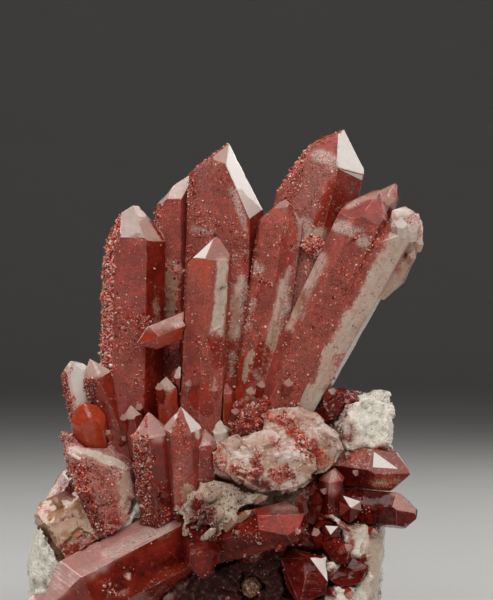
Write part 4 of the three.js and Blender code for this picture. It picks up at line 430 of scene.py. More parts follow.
SMALL = [
    [[-13.6,-10.1,54.0],[-14.6,-13.2,58.3],1.01,"deep","palem"],
    [[-18.2,-6.7,50.3],[-19.4,-9.6,53.7],1.01,"dkred","palem"],
    [[4.9,-11.2,54.0],[6.0,-13.9,57.6],1.12,"orangeb","gem"],
    [[-1.9,-10.2,54.4],[-2.5,-12.7,57.8],0.9,"mauveb","palem"],
    [[7.6,-11.1,54.9],[8.2,-13.8,58.9],1.01,"deep","palem"],
    [[13.1,-10.1,55.3],[14.2,-13.0,59.4],1.12,"brown","palem"],
    [[22.5,-7.1,54.3],[24.2,-9.8,57.0],0.9,"brown","pale"],
    [[-21.6,-9.8,47.8],[-22.5,-12.7,51.4],0.9,"deep","palem"],
    [[-12.4,-14.1,31.5],[-13.4,-17.2,35.1],1.12,"dkred","dkred"],
    [[-6.2,-18.3,31.2],[-5.2,-21.4,34.9],1.01,"brown","palem"],
    [[-9.7,-14.1,28.2],[-10.6,-16.8,31.8],0.9,"dkred","palem"],
    [[19.3,-11.7,28.0],[20.5,-15.3,34.5],1.57,"dkred","dkred"],
    [[17.1,-22.0,30.7],[16.3,-25.1,34.8],1.12,"dkred","dkred"],
    [[20.9,-15.2,22.9],[19.5,-18.3,26.9],1.12,"deep","palem"],
    [[28.2,-7.8,37.0],[29.4,-10.8,39.0],0.9,"dkred","palem"],
    [[31.7,-9.7,25.6],[33.8,-12.4,25.0],1.01,"brown","palem"],
    [[20.6,-10.6,32.4],[22.3,-13.3,35.2],0.9,"dkred","palem"],
    [[25.1,-20.5,21.9],[27.6,-23.2,23.6],1.01,"brown","palem"],
    [[29.8,-11.9,19.2],[32.4,-14.2,20.4],0.9,"brown","palem"],
    [[23.0,-20.1,13.6],[24.2,-22.1,12.1],0.9,"dkred","dkred"],
    [[26.7,-19.0,13.4],[27.7,-21.0,11.7],1.12,"brown","palem"],
    [[16.4,-22.3,24.6],[15.5,-25.6,27.5],0.9,"dkred","palem"],
    [[12.5,-23.2,23.7],[11.2,-25.5,22.4],1.12,"dkred","dkred"],
    [[-25.1,-6.2,45.3],[-26.3,-8.9,47.7],0.79,"orangeb","palem"],
    [[-23.3,-6.3,44.0],[-21.8,-9.0,46.4],0.79,"brown","palem"],
    [[-36.3,-11.4,31.3],[-37.9,-13.6,33.0],0.9,"ochre","gem"],
    [[-26.2,-18.4,22.5],[-27.4,-20.6,20.1],0.9,"deep","palem"],
    [[-8.5,-9.6,55.5],[-7.8,-12.3,58.9],0.9,"mauveb","palem"],
    [[1.9,-12.8,50.1],[2.5,-15.5,52.9],0.9,"kdark","palem"],
    [[18.9,-9.6,36.7],[17.5,-11.9,39.1],0.9,"palem","gem"],
    [[-4.6,-21.7,24.6],[-1.7,-24.2,27.4],0.79,"mdirt","gem"],
    [[0.4,-20.7,26.7],[3.0,-23.2,29.7],0.79,"olive","gem"],
    [[3.0,-20.0,28.3],[6.0,-22.2,31.1],0.9,"olive","beige"],
    [[6.9,-18.9,32.6],[9.5,-20.9,34.0],0.79,"olive","gem"],
    [[-3.1,-18.1,33.0],[-0.5,-20.4,35.3],0.79,"mdirt","gem"],
    [[-5.7,-20.4,27.1],[-4.3,-22.6,30.3],0.68,"soot","soot"],
    [[1.3,-20.5,24.5],[3.4,-22.6,26.8],0.68,"soot","olive"],
    [[5.2,-20.8,29.3],[7.3,-22.8,31.2],0.68,"soot","brown"],
    [[-1.8,-20.2,28.8],[-0.0,-22.5,30.7],0.9,"mdirt","gem"],
    [[39.2,-9.9,90.6],[38.9,-12.0,94.8],1.46,"glassg","white"],
    [[41.1,-8.7,89.8],[41.6,-10.7,93.7],1.35,"glassg","glassg"],
    [[42.7,-4.6,87.7],[43.7,-6.4,90.7],1.12,"beige","glassg"],
    [[37.9,-9.3,91.5],[37.2,-11.1,94.4],1.12,"glassm","glassg"],
    [[40.8,-5.6,85.0],[42.2,-7.6,87.6],1.12,"olive","glassm"],
]
SEALED = [
    [[-0.56,-10.9,79.59],[0.47,-0.81,0.34],0.8,0.35,"black",0.4],
    [[39.61,-6.17,86.94],[0.13,-0.75,0.64],0.97,0.3,"black",0.5],
    [[38.05,-6.16,85.83],[-0.17,-0.97,0.17],0.8,0.2,"black",0.5],
    [[-21.54,-4.59,92.3],[0.0,-0.31,0.95],1.38,0.1,"veil",1.2],
    [[-20.26,-3.21,93.9],[0.47,-0.81,0.34],1.5,0.08,"veil",1],
    [[-22.46,-4.22,92.99],[-0.56,-0.66,0.5],1.18,0.07,"veil",1],
    [[-21.05,-3.7,91.17],[0.0,-0.17,0.98],3.16,0.3,"red",1],
    [[-3.65,-10.38,87.08],[-0.17,-0.47,0.87],0.83,0.08,"veil",1],
    [[-0.57,-8.95,86.66],[0.56,-0.66,0.5],1.38,0.08,"veil",1],
    [[-2.09,-9.5,84.86],[0.0,-0.26,0.97],2.98,0.3,"red",1],
    [[-1.06,-4.24,108.35],[0.09,-0.49,0.87],1.24,0.08,"veil",1],
    [[-0.17,-4.93,107.67],[-0.47,-0.81,0.34],0.83,0.07,"veil",1],
    [[3.39,-4.09,84.96],[0.56,-0.66,0.5],1.97,0.1,"veil",0.6],
    [[2.5,-3.96,80.95],[-0.49,-0.85,0.17],1.8,0.1,"veil",0.6],
    [[3.83,-3.92,76.05],[0.81,-0.47,0.34],1.85,0.1,"veil",0.6],
    [[1.83,-4.04,69.82],[0.22,-0.6,0.77],1.6,0.1,"veil",0.6],
    [[1.16,-2.91,76.95],[0.34,-0.93,0.17],3.5,0.4,"red",0.5],
    [[12.48,-7.28,76.5],[0.38,-0.66,0.64],1.42,0.09,"veil",0.6],
    [[10.48,-7.54,66.54],[-0.43,-0.75,0.5],1.42,0.09,"veil",0.6],
    [[8.26,-8.16,65.0],[0.09,-0.49,0.87],1.83,0.1,"veil",0.7],
    [[12.26,-6.03,73.84],[0.34,-0.93,0.17],2.4,0.3,"red",0.5],
    [[-11.95,2.25,79.88],[0.43,-0.75,0.5],1.6,0.09,"veil",0.6],
    [[-12.86,2.23,72.44],[-0.38,-0.66,0.64],1.4,0.09,"veil",0.6],
    [[-12.4,2.94,76.5],[0.16,-0.93,0.34],1,0.25,"black",0.5],
    [[16.23,-7.84,75.17],[0.43,-0.75,0.5],0.59,0.1,"veil",0.7],
    [[14.45,-8.63,68.99],[-0.56,-0.66,0.5],1.21,0.1,"veil",0.7],
    [[21.08,-8.74,84.9],[0.09,-0.49,0.87],1.02,0.1,"veil",0.7],
    [[40.55,-8.35,88.88],[0.49,-0.59,0.64],0.33,0.1,"veil",0.7],
    [[36.08,-9.03,84.89],[-0.3,-0.81,0.5],1.77,0.1,"veil",0.6],
    [[32.56,-8.81,78.71],[0.75,-0.63,0.17],1.65,0.1,"veil",0.6],
    [[28.16,-8.46,71.19],[-0.11,-0.63,0.77],1.65,0.1,"veil",0.6],
    [[24.63,-8.15,65.0],[0.3,-0.81,0.5],1.65,0.1,"veil",0.6],
    [[36.98,-7.08,84.89],[-0.16,-0.93,0.34],2.01,0.4,"red",0.6],
    [[32.59,-6.25,76.06],[0.16,-0.93,0.34],1.5,0.4,"red",0.6],
    [[28.19,-5.91,67.65],[-0.16,-0.93,0.34],1.15,0.4,"red",0.6],
    [[38.05,-10.31,88.86],[0.0,-1.0,0.0],0.35,0.14,"black",0.6],
    [[34.3,-10.24,83.56],[0.0,-1.0,0.0],0.3,0.14,"black",0.6],
    [[32.99,-9.96,80.47],[0.0,-1.0,0.0],0.4,0.14,"black",0.5],
    [[30.35,-9.86,76.5],[0.0,-1.0,0.0],0.3,0.12,"black",0.6],
    [[31.22,-9.89,78.27],[0.0,-1.0,0.0],0.25,0.12,"black",0.6],
    [[27.28,-9.33,69.87],[0.0,-1.0,0.0],0.35,0.14,"black",0.6],
    [[29.03,-9.68,73.85],[0.0,-1.0,0.0],0.3,0.12,"black",0.6],
    [[25.52,-9.08,66.33],[0.0,-1.0,0.0],0.3,0.12,"black",0.6],
    [[-0.99,-11.71,46.14],[0.22,-0.6,0.77],0.99,0.08,"veil",0.8],
    [[20.99,-12.24,47.94],[0.22,-0.6,0.77],0.79,0.1,"veil",0.7],
    [[23.41,-12.12,45.3],[0.72,-0.6,0.34],0.96,0.1,"veil",0.7],
    [[18.8,-11.79,50.11],[-0.43,-0.75,0.5],0.81,0.1,"veil",0.7],
    [[21.38,-12.7,43.63],[0.32,-0.88,0.34],2.11,0.3,"red",0.7],
    [[2.55,-17.58,43.43],[-0.22,-0.6,0.77],0.98,0.1,"veil",0.8],
    [[14.29,-18.37,42.83],[0.22,-0.6,0.77],1.18,0.1,"veil",0.8],
    [[4.73,-16.1,45.96],[0.0,-0.34,0.94],0.78,0.1,"veil",0.8],
    [[9.96,-16.27,46.84],[0.38,-0.66,0.64],0.86,0.1,"veil",0.8],
    [[16.46,-18.16,41.29],[0.85,-0.49,0.17],1.18,0.1,"veil",0.8],
    [[8.2,-18.83,41.4],[0.0,-0.94,0.34],2.47,0.3,"red",0.8],
    [[-30.63,-12.4,42.46],[-0.17,-0.47,0.87],0.6,0.1,"veil",0.7],
    [[-25.18,-11.66,40.87],[0.17,-0.47,0.87],0.6,0.1,"veil",0.7],
    [[-33.83,-13.79,28.3],[-0.32,-0.88,0.34],1.19,0.1,"gold",0.7],
    [[-35.96,-14.55,25.09],[0.47,-0.81,0.34],1.21,0.1,"veil",0.7],
    [[-30.43,-15.58,23.0],[0.0,-0.64,0.77],1.13,0.1,"gold",0.7],
    [[-14.22,-10.71,70.77],[-0.22,-0.6,0.77],1.05,0.08,"veil",0.7],
    [[-28.94,-7.8,60.55],[-0.22,-0.6,0.77],0.93,0.08,"veil",0.7],
]
KNOB = [[20.73,-6.71,88.06],[[3.49,0.0,-1.56],[0.0,2.02,0.0],[0.87,0.0,1.95]]]


# a finish: how much of each thing there is in the surface, 0 to 1
CH = ["red", "pale", "clear", "dark", "orange", "rough", "speck", "fleck", "druse", "white", "size", "green"]
BASE = dict(red=0, pale=0, clear=0, dark=0, orange=0, rough=0.2, speck=0, fleck=0, druse=0, white=0.25, size=0.42, green=0)
FINISH = {
    "mauve": dict(red=.97, pale=.13, dark=.14, rough=.4, speck=.36, druse=.02, white=.4, size=.3),
    "mauveb": dict(red=.68, pale=.26, clear=.3, dark=.04, rough=.24, speck=.4, fleck=.2, druse=.05, white=.5, size=.34),
    "sred": dict(red=1, orange=.1, dark=.12, rough=.46, speck=.8, druse=.26, white=.3, size=.3),
    "retic": dict(red=.95, pale=.2, dark=.1, rough=.5, speck=.95, druse=.12, white=.4, size=.28),
    "deep": dict(red=1, dark=.34, orange=.08, rough=.06, speck=.12, druse=.005, white=.6),
    "dkred": dict(red=1, dark=.62, rough=.12, speck=.25, druse=.08, white=.5, size=.36),
    "orange": dict(red=.95, orange=.85, rough=.12, speck=.2),
    "orangeb": dict(red=.55, orange=.6, clear=.4, rough=.15, speck=.2, fleck=.1),
    "amber": dict(red=.9, orange=.3, clear=.25, dark=.28, rough=.06, speck=.15, fleck=.15),
    "amberr": dict(red=.92, orange=.55, clear=.15, dark=.06, rough=.08, speck=.2),
    "brown": dict(red=.82, clear=.35, dark=.22, orange=.24, rough=.08, speck=.3, fleck=.3),
    "beige": dict(red=.18, clear=.7, pale=.45, orange=.2, dark=.05, rough=.2, speck=.5, fleck=.8),
    "ochre": dict(red=.26, clear=.6, orange=.82, dark=.10, rough=.12, speck=.15, fleck=.7),
    # yellow: the nub's own yellow, darkened by painted shade of the recess it sits in
    "yellow": dict(clear=.2, red=.2, orange=.95, pale=0, dark=.84, rough=.3, speck=.2, fleck=1, green=.02),
    "pale": dict(pale=.82, red=.2, clear=.4, dark=.1, rough=.08, speck=.06),
    "palep": dict(pale=.74, red=.46, clear=.35, dark=.08, rough=.08, speck=.1),
    "palem": dict(pale=.6, red=.7, clear=.2, rough=.12, speck=.16),
    "pink": dict(pale=.66, red=.8, dark=.2, rough=.22, speck=.2),
    "pinkw": dict(pale=1, red=.05, rough=.07, speck=.03),
    # white: faces painted almost white, partly their own pale colour and partly a painted reflection of the lamps
    "white": dict(pale=1, red=.02, rough=.06),
    "frost": dict(pale=.82, red=.78, dark=.08, rough=.6, speck=.85, druse=.08, white=.9, size=.26),
    "scr": dict(pale=.7, red=.7, green=.3, dark=.24, rough=.5, speck=.6, druse=.03, white=.9, size=.26),
    "green": dict(pale=.7, green=.8, clear=.4, rough=.14, speck=.2, fleck=.25),
    "crm": dict(pale=.95, clear=.2, red=.08, orange=.30, green=.05, rough=.1, speck=.15, fleck=.45),
    "glass": dict(clear=.7, pale=.85, rough=.04, fleck=.1),
    "glassm": dict(clear=.4, pale=.70, red=.50, orange=.22, rough=.06, speck=.1, fleck=.5),
    "glassg": dict(clear=.35, pale=.93, red=.08, orange=.14, green=.14, rough=.06, fleck=.6),
    "crust": dict(pale=.34, red=.9, dark=.16, rough=.6, speck=.95, druse=.16, white=.6, size=.27),
    "dust": dict(red=.75, orange=.5, pale=.3, dark=.15, rough=.6, speck=.8, druse=.5, white=.6, size=.32),
    "druse": dict(red=1, dark=.06, rough=.55, speck=.6, druse=1.3, white=.8, size=.38),
    "mdruse": dict(red=1, dark=.12, rough=.5, speck=.7, druse=.62, white=.42, size=.28),
    "pdruse": dict(red=.85, pale=.4, rough=.6, speck=.7, druse=1.1, white=.9, size=.34),
    "kdruse": dict(red=1, dark=.3, rough=.6, speck=.6, druse=1.3, white=.5, size=.42),
    "knob": dict(red=.9, pale=.3, rough=.6, speck=.8, druse=1.5, white=1.0, size=.52),
    "kdark": dict(red=1, dark=.62, rough=.5, speck=.4, druse=.75, white=.3, size=.36),
    "velvet": dict(red=1, orange=.1, rough=.8, speck=.5, druse=.6, white=.15, size=.3),
    "dark": dict(red=.4, dark=1, rough=.3),
    # painted highlight: the pale finish of the bevel strips, standing for the thin bright line where edges catch the
    # light
    "edge": dict(red=.6, pale=.7, rough=.12),
    "mrock": dict(pale=1, green=.9, rough=.4, speck=.1, fleck=.8, druse=.012, white=.9),
    "mdirt": dict(pale=.3, green=.8, clear=.55, dark=.2, red=.1, orange=.55, rough=.3, speck=.35, fleck=1.9, druse=.05, white=.7, size=.26),
    "mstain": dict(red=1, orange=.05, dark=.45, rough=.4, speck=.5, druse=.25, white=.35, size=.36),
    # painted shade: the dark floor of the recess under the crystals that overhang the front
    "painted_recess_shade": dict(red=.8, dark=1, rough=.5, druse=.03, white=.1),
    "abyss": dict(red=1, dark=.86, rough=.06, speck=.25, white=.7),
    "soot": dict(red=.5, dark=.9, rough=.6, speck=.3, druse=1.3, white=.1, size=.26),
    "pepper": dict(clear=.55, pale=.58, green=.30, red=.14, orange=.20, rough=.14, speck=.25, fleck=1.1, white=.8),
    "icy": dict(clear=.6, pale=.66, green=.4, red=.24, orange=.12, rough=.34, speck=.5, fleck=.8, druse=.05, white=1, size=.26),
    "orangev": dict(red=.9, orange=1, dark=0, rough=.42, speck=.35, druse=.03, white=.3, size=.26),
    "greenish": dict(clear=.6, pale=.66, green=.65, red=.08, orange=.14, rough=.14, speck=.25, fleck=.7, white=.8),
    "rose": dict(pale=.56, red=.8, dark=.12, rough=.14, speck=.2, fleck=.1),
    "mglass": dict(pale=1, green=.85, clear=.05, rough=.25, speck=.05, fleck=.5, white=.9),
    "brick": dict(red=1, orange=.14, dark=.16, rough=.5, speck=.75, fleck=.2, druse=.08, white=.35, size=.28),
    "redvel": dict(red=1, orange=.10, dark=.24, rough=.46, speck=.7, druse=.04, white=.3, size=.26),
    "olive": dict(red=.3, clear=.7, orange=.4, dark=.16, rough=.1, speck=.25, fleck=.7),
    "garnet": dict(red=1, dark=.72, rough=.06, speck=.16, druse=.008, white=.7, size=.26),
    "k7tip": dict(red=.82, pale=.42, clear=.26, dark=.62, orange=.02, rough=.08, speck=.25, druse=.01, white=.7, size=.26),
    "garnetl": dict(red=1, dark=.6, orange=.06, rough=.07, speck=.2, druse=.01, white=.7, size=.26),
    "tipgrey": dict(pale=.72, red=.22, clear=.45, dark=.36, rough=.08, speck=.05),
    "kvel": dict(red=1, dark=.46, rough=.55, speck=.5, druse=.95, white=.6, size=.34),
    # whitew: faces painted almost white, partly their own pale colour and partly a painted reflection of the lamps
    "whitew": dict(pale=1, red=.05, dark=.2, rough=.06),
    "gritty": dict(red=1, orange=.15, rough=.55, speck=.6, druse=1.35, white=1, size=.44),
    "glint": dict(red=1, dark=.7, rough=.1, speck=.3, druse=.16, white=1, size=.34),
    "cloudy": dict(red=.36, clear=.6, pale=.55, orange=.14, rough=.4, speck=.6, fleck=.7, druse=.03, white=.7, size=.3),
    "gem": dict(clear=.8, pale=.5, red=.25, rough=.05, fleck=.1),
    "mtan": dict(clear=.35, pale=.38, green=.85, orange=.75, dark=0, red=0, rough=.12, speck=.05, fleck=.7, white=.8),
}


def vec(name):
    d = dict(BASE)
    d.update(FINISH[name])
    return np.array([d[c] for c in CH])


# ------------------------------------------------------------------ small tools
def lattice(i, j, k, seed):
    h = (i * 73856093) ^ (j * 19349663) ^ (k * 83492791) ^ (seed * 2654435761)
    h = (h ^ (h >> 13)) * 1274126177
    h = h & 0x7FFFFFFF
    h = (h ^ (h >> 16)) & 0xFFFF
    return h / 65535.0


def noise(p, scale, seed=0, octaves=1):
    """Value noise, 0 to 1, at the points p (mm); scale is the size of a lump."""
    total, weight, amp = 0, 0, 1.0
    q = np.asarray(p, float) / scale
    for o in range(octaves):
        f = np.floor(q).astype(np.int64)
        t = q - f
        t = t * t * (3 - 2 * t)
        v = 0
        for a in (0, 1):
            for b in (0, 1):
                for c in (0, 1):
                    w = (t[:, 0] if a else 1 - t[:, 0]) * (t[:, 1] if b else 1 - t[:, 1]) * (t[:, 2] if c else 1 - t[:, 2])
                    v = v + w * lattice(f[:, 0] + a, f[:, 1] + b, f[:, 2] + c, seed + 17 * o)
        total = total + v * amp
        weight += amp
        amp *= 0.5
        q = q * 2.03 + 5.1
    return total / weight


def unit(v):
    v = np.asarray(v, float)
    return v / np.linalg.norm(v)


def frame_of(c):
    """Axis, and the two directions across it, of a prism."""
    foot, tip = np.array(c["b"], float), np.array(c["t"], float)
    w = unit(tip - foot)
    e1 = np.array([0, -1.0, 0])
    e1 = e1 - w * (e1 @ w)
    if np.linalg.norm(e1) < 0.15:
        e1 = np.array([0, 0, 1.0])
        e1 = e1 - w * (e1 @ w)
    e1 = unit(e1)
    return foot, tip, w, e1, np.cross(w, e1)


def planes_of(c):
    """[(key, normal, distance)] of a crystal or block."""
    out = []
    if "pts" in c:
        P = np.array(c["pts"], float)
        n = len(P)
        for i in range(n):
            for j in range(i + 1, n):
                for k in range(j + 1, n):
                    m = np.cross(P[j] - P[i], P[k] - P[i])
                    l = np.linalg.norm(m)
                    if l < 1e-9:
                        continue
                    m = m / l
                    d = m @ P[i]
                    s = P @ m - d
                    if np.all(s <= 1e-6):
                        pass
                    elif np.all(s >= -1e-6):
                        m, d = -m, -d
                    else:
                        continue
                    if not any(m @ q[1] > 1 - 1e-7 and abs(d - q[2]) < 1e-4 for q in out):
                        out.append(("q%d" % len(out), m, d))
        return out
    foot, tip, w, e1, e2 = frame_of(c)
    mid = (foot + tip) / 2
    ta = math.radians(c["taper"])
    for k in range(6):
        a = math.radians(c["roll"] + 60 * k)
        rad = math.cos(a) * e1 + math.sin(a) * e2
        n = math.cos(ta) * rad + math.sin(ta) * w
        out.append(("p%d" % k, n, n @ mid + c["r"] * c["side"][k]))
    for k in range(6):
        a = math.radians(c["roll"] + 60 * k)
        th = math.radians(c["ang"][k])
        rad = math.cos(a) * e1 + math.sin(a) * e2
        n = math.cos(th) * rad + math.sin(th) * w
        out.append(("t%d" % k, n, n @ (tip + w * c["rise"][k] * c["r"])))
    out.append(("b", -w, -w @ foot))
    for i, q in enumerate(c.get("cuts", [])):
        out.append(("c%d" % i, np.array(q[:3], float), q[3]))
    return out


for c in CRYSTALS:
    c["planes"] = planes_of(c)
    c["id"] = (sum(ord(x) * (i + 3) for i, x in enumerate(c["n"])) % 97) / 97
for n, st, q in FACETS:
    c = next(c for c in CRYSTALS if c["n"] == n)
    key = min(c["planes"], key=lambda p: (abs(p[1] @ np.array(q) - p[2]), p[1][1]))[0]
    FACES.setdefault(n, {})[key] = st
MARKS_ON = {}
for n, st, poly in MARKS:
    c = next(c for c in CRYSTALS if c["n"] == n)
    mid = np.mean(np.array(poly, float), 0)
    key, m, d = min(c["planes"], key=lambda p: abs(p[1] @ mid - p[2]))
    name = "m%d" % len(MARKS_ON.get((n, key), []))
    FACES[n][key + name] = st
    MARKS_ON.setdefault((n, key), []).append((key + name, np.array([q - m * (m @ q - d) for q in np.array(poly, float)])))
BY_NODE = {}
for c in CRYSTALS:
    BY_NODE.setdefault(c["node"], []).append(c)
STAINS_OF = {}
for s in STAINS:
    STAINS_OF.setdefault(s[0], []).append(s)


BARE = ("white", "whitew", "tipgrey")


def finish_of(c, key):
    f = FACES.get(c["n"])
    if f is None:
        return "mrock"
    return f.get(key) or f.get(key[:2]) or f.get(key[0]) or f["p"]


def segment_distance(P, pts):
    best = np.full(len(P), 1e9)
    pts = [np.array(q, float) for q in pts]
    for a, b in zip(pts[:-1], pts[1:]):
        d = b - a
        t = np.clip((P - a) @ d / max(d @ d, 1e-9), 0, 1)
        best = np.minimum(best, np.linalg.norm(P - a - t[:, None] * d, axis=1))
    return best


def channels(c, key, P, edge=False):
    """The finish at points P of one face of crystal c."""
    v = np.repeat(vec(finish_of(c, key))[None], len(P), 0)
    wob = noise(P, 2.2, 5, 2) - 0.5
    bare = finish_of(c, key) in BARE
    for _, st, w, r, pts in STAINS_OF.get(c["n"], []):
        st, _, only = st.partition("@")
        if not key.startswith(only) if only else bare:
            continue
        d = segment_distance(P, pts) + wob * min(r, 2.2) * 1.3
        m = np.clip((r * 1.6 - d) / (r * 1.2), 0, 1)
        m = (m * m * (3 - 2 * m) * w)[:, None]
        v = v * (1 - m) + vec(st)[None] * m
    # painted highlight: bevel strips are mixed towards the pale finish of lit edges
    if edge:
        e = vec("edge")[None]
        k = np.clip((noise(P, 1.9, 51, 2) - 0.42) * 3.2, 0, 1)[:, None] * 0.42 + 0.06
        v = v * (1 - k) + e * k
        v[:, CH.index("druse")] *= 0.3
    return v


def within(q, ring):
    """Is the 2-D point q inside the ring?"""
    ins = False
    for p, r in zip(ring, np.roll(ring, -1, 0)):
        if (p[1] > q[1]) != (r[1] > q[1]) and q[0] < (r[0] - p[0]) * (q[1] - p[1]) / (r[1] - p[1]) + p[0]:
            ins = not ins
    return ins


# ------------------------------------------------------------------ faceted skins
def facets(node, spacing, bevel=0.13):
    """The node's flat faces with narrow bevels, each meshed with even triangles. Returns points, triangles, face number
    of each triangle, and per face (crystal, key, and whether it is a bevel strip along the edges, which gets the
    painted highlight).
    """
    bm = bmesh.new()
    bm.from_mesh(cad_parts[node].data)
    bmesh.ops.scale(bm, vec=(1000, 1000, 1000), verts=bm.verts)
    bmesh.ops.remove_doubles(bm, verts=bm.verts, dist=0.004)
    bmesh.ops.dissolve_degenerate(bm, edges=bm.edges, dist=0.01)
    bmesh.ops.dissolve_limit(bm, angle_limit=math.radians(0.7), verts=bm.verts, edges=bm.edges, use_dissolve_boundaries=False)
    if bevel:
        sharp = []
        for e in bm.edges:
            if len(e.link_faces) == 2 and e.calc_length() > 0.7:
                a = e.calc_face_angle_signed(0)
                if a > math.radians(14):
                    sharp.append(e)
        bmesh.ops.bevel(bm, geom=sharp, offset=bevel, offset_type="OFFSET", segments=1, profile=0.5, affect="EDGES", clamp_overlap=False, loop_slide=True)
        bmesh.ops.remove_doubles(bm, verts=bm.verts, dist=0.02)
        bmesh.ops.dissolve_degenerate(bm, edges=bm.edges, dist=0.01)
    bm.verts.ensure_lookup_table()
    bm.verts.index_update()
    bm.edges.index_update()
    bm.faces.index_update()
    pts = [np.array(v.co) for v in bm.verts]
    along = {}
    for e in bm.edges:
        a, b = sorted((e.verts[0].index, e.verts[1].index))
        n = int(math.ceil(e.calc_length() / spacing))
        ids = []
        for i in range(1, n):
            ids.append(len(pts))
            pts.append(pts[a] + (pts[b] - pts[a]) * i / n)
        along[(a, b)] = ids
    cr = BY_NODE[node]
    tris, face_of, info = [], [], []
    r = np.random.default_rng(7)
    for f in bm.faces:
        n = np.array(f.normal)
        if np.linalg.norm(n) < 0.5:
            continue
        cen = np.array(f.calc_center_median())
        best = None
        for c in cr:
            for key, m, d in c["planes"]:
                g = m @ n
                if g > 0.9995 and abs(m @ cen - d) < 0.03:
                    best = (c, key, False)
                    break
            if best:
                break
        if best is None:
            least = 1e9
            for c in cr:
                s = [(m @ cen - d, key, m @ n) for key, m, d in c["planes"]]
                top = max(s)
                if abs(top[0]) < least:
                    least = abs(top[0])
                    best = (c, top[1], f.calc_area() < 40 and least < 0.5)
        info.append(best)
        k = len(info) - 1
        loop = []
        vs = [v.index for v in f.verts]
        for a, b in zip(vs, vs[1:] + vs[:1]):
            loop.append(a)
            ids = along[(min(a, b), max(a, b))]
            loop.extend(ids if a < b else ids[::-1])
        x = unit(np.array(f.verts[1].co) - np.array(f.verts[0].co)) if len(vs) else None
        far = max(((pts[b] - pts[a]) for a, b in zip(vs, vs[1:] + vs[:1])), key=lambda q: q @ q)
        x = unit(far - n * (far @ n))
        y = np.cross(n, x)
        B = np.array([pts[i] for i in loop])
        B2 = np.stack([(B - cen) @ x, (B - cen) @ y], 1)
        lo, hi = B2.min(0), B2.max(0)
        inner = np.zeros((0, 2))
        if min(hi - lo) > spacing * 0.9:
            gx = np.arange(lo[0], hi[0], spacing)
            gy = np.arange(lo[1], hi[1], spacing * 0.866)
            G = np.stack(np.meshgrid(gx, gy), -1)
            G[1::2, :, 0] += spacing / 2
            G = G.reshape(-1, 2) + r.uniform(-0.16, 0.16, (G.size // 2, 2)) * spacing
            ins = np.zeros(len(G), bool)
            near = np.full(len(G), 1e9)
            for p, q in zip(B2, np.roll(B2, -1, 0)):
                cross = (p[1] > G[:, 1]) != (q[1] > G[:, 1])
                if cross.any():
                    xx = (q[0] - p[0]) * (G[:, 1] - p[1]) / ((q[1] - p[1]) if q[1] != p[1] else 1e-12) + p[0]
                    ins ^= cross & (G[:, 0] < xx)
                near = np.minimum(near, (G[:, 0] - p[0]) ** 2 + (G[:, 1] - p[1]) ** 2)
            inner = G[ins & (near > (0.5 * spacing) ** 2)]
        # crisp marks: growth facets too low to be solids of their own
        rings, lines, marks = [], [], []
        for name, poly in MARKS_ON.get((best[0]["n"], best[1]), []) if not best[2] else []:
            M = np.stack([(poly - cen) @ x, (poly - cen) @ y], 1)
            if not all(within(q, B2) for q in M):
                continue
            M = np.concatenate([a + (b - a) * np.linspace(0, 1, 5)[:-1, None] for a, b in zip(M, np.roll(M, -1, 0))])
            start = len(B2) + sum(len(q) for q in rings)
            lines += [(start + i, start + (i + 1) % len(M)) for i in range(len(M))]
            rings.append(M)
            marks.append((name, M))
            info.append((best[0], name, False))
        if rings:
            ring = np.concatenate(rings)
            if len(inner):
                inner = inner[(((inner[:, None] - ring[None]) ** 2).sum(2).min(1) > (0.3 * spacing) ** 2)]
            inner = np.concatenate([ring, inner])
        all2 = [Vector(q) for q in np.concatenate([B2, inner])]
        try:
            vo, _, fo, ov, _, _ = delaunay_2d_cdt(all2, lines, [list(range(len(B2)))], 1, 1e-5)
        except Exception:
            continue
        base = len(pts)
        for q in inner:
            pts.append(cen + x * q[0] + y * q[1])
        ids = loop + list(range(base, base + len(inner)))
        where = []
        for i, o in enumerate(ov):
            if len(o):
                where.append(ids[o[0]])
            else:
                where.append(len(pts))
                pts.append(cen + x * vo[i][0] + y * vo[i][1])
        for t in fo:
            a, b, c3 = (where[i] for i in t[:3])
            if a != b and b != c3 and a != c3:
                tris.append((a, b, c3))
                which = k
                if marks:
                    q = sum((np.array(vo[i]) for i in t[:3]), np.zeros(2)) / 3
                    for i, (name, M) in enumerate(marks):
                        if within(q, M):
                            which = k + 1 + i
                face_of.append(which)
    bm.free()
    P, T, K = np.array(pts), np.array(tris), np.array(face_of)
    # the triangles' normals, worked out here but not used; the triangles are not turned
    N = np.cross(P[T[:, 1]] - P[T[:, 0]], P[T[:, 2]] - P[T[:, 0]])
    return P, T, K, info


def mesh_object(name, P, T, material, smooth=True):
    me = bpy.data.meshes.new(name)
    me.from_pydata((np.asarray(P) * MM).tolist(), [], np.asarray(T).tolist())
    me.validate()
    me.materials.append(material)
    if smooth:
        me.shade_smooth()
    o = bpy.data.objects.new(name, me)
    bpy.context.scene.collection.objects.link(o)
    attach(o, "root")
    return o


def corner_colours(me, name, values):
    at = me.attributes.new(name, "FLOAT_COLOR", "CORNER")
    at.data.foreach_set("color", np.asarray(values, np.float32).ravel())


def tri_loops(me):
    """For the mesh as it is: vertex of each corner."""
    v = np.empty(len(me.loops), np.int32)
    me.loops.foreach_get("vertex_index", v)
    return v.reshape(-1, 3)


def clean(P, T, K):
    """Drops needles and doubled triangles."""
    s = np.sort(T, 1)
    ok = (s[:, 0] != s[:, 1]) & (s[:, 1] != s[:, 2])
    _, first = np.unique(s, axis=0, return_index=True)
    keep = np.zeros(len(T), bool)
    keep[first] = True
    ok &= keep
    return T[ok], K[ok]


def rounded(P, T, how):
    """Moves each point towards its neighbours' mean, how times."""
    E = np.concatenate([T[:, [0, 1]], T[:, [1, 2]], T[:, [2, 0]]])
    E = np.concatenate([E, E[:, ::-1]])
    n = np.bincount(E[:, 0], minlength=len(P)).astype(float)
    n[n == 0] = 1
    for _ in range(how):
        s = np.zeros_like(P)
        for a in range(3):
            s[:, a] = np.bincount(E[:, 0], weights=P[E[:, 1], a], minlength=len(P))
        P = P * 0.4 + (s / n[:, None]) * 0.6
    return P


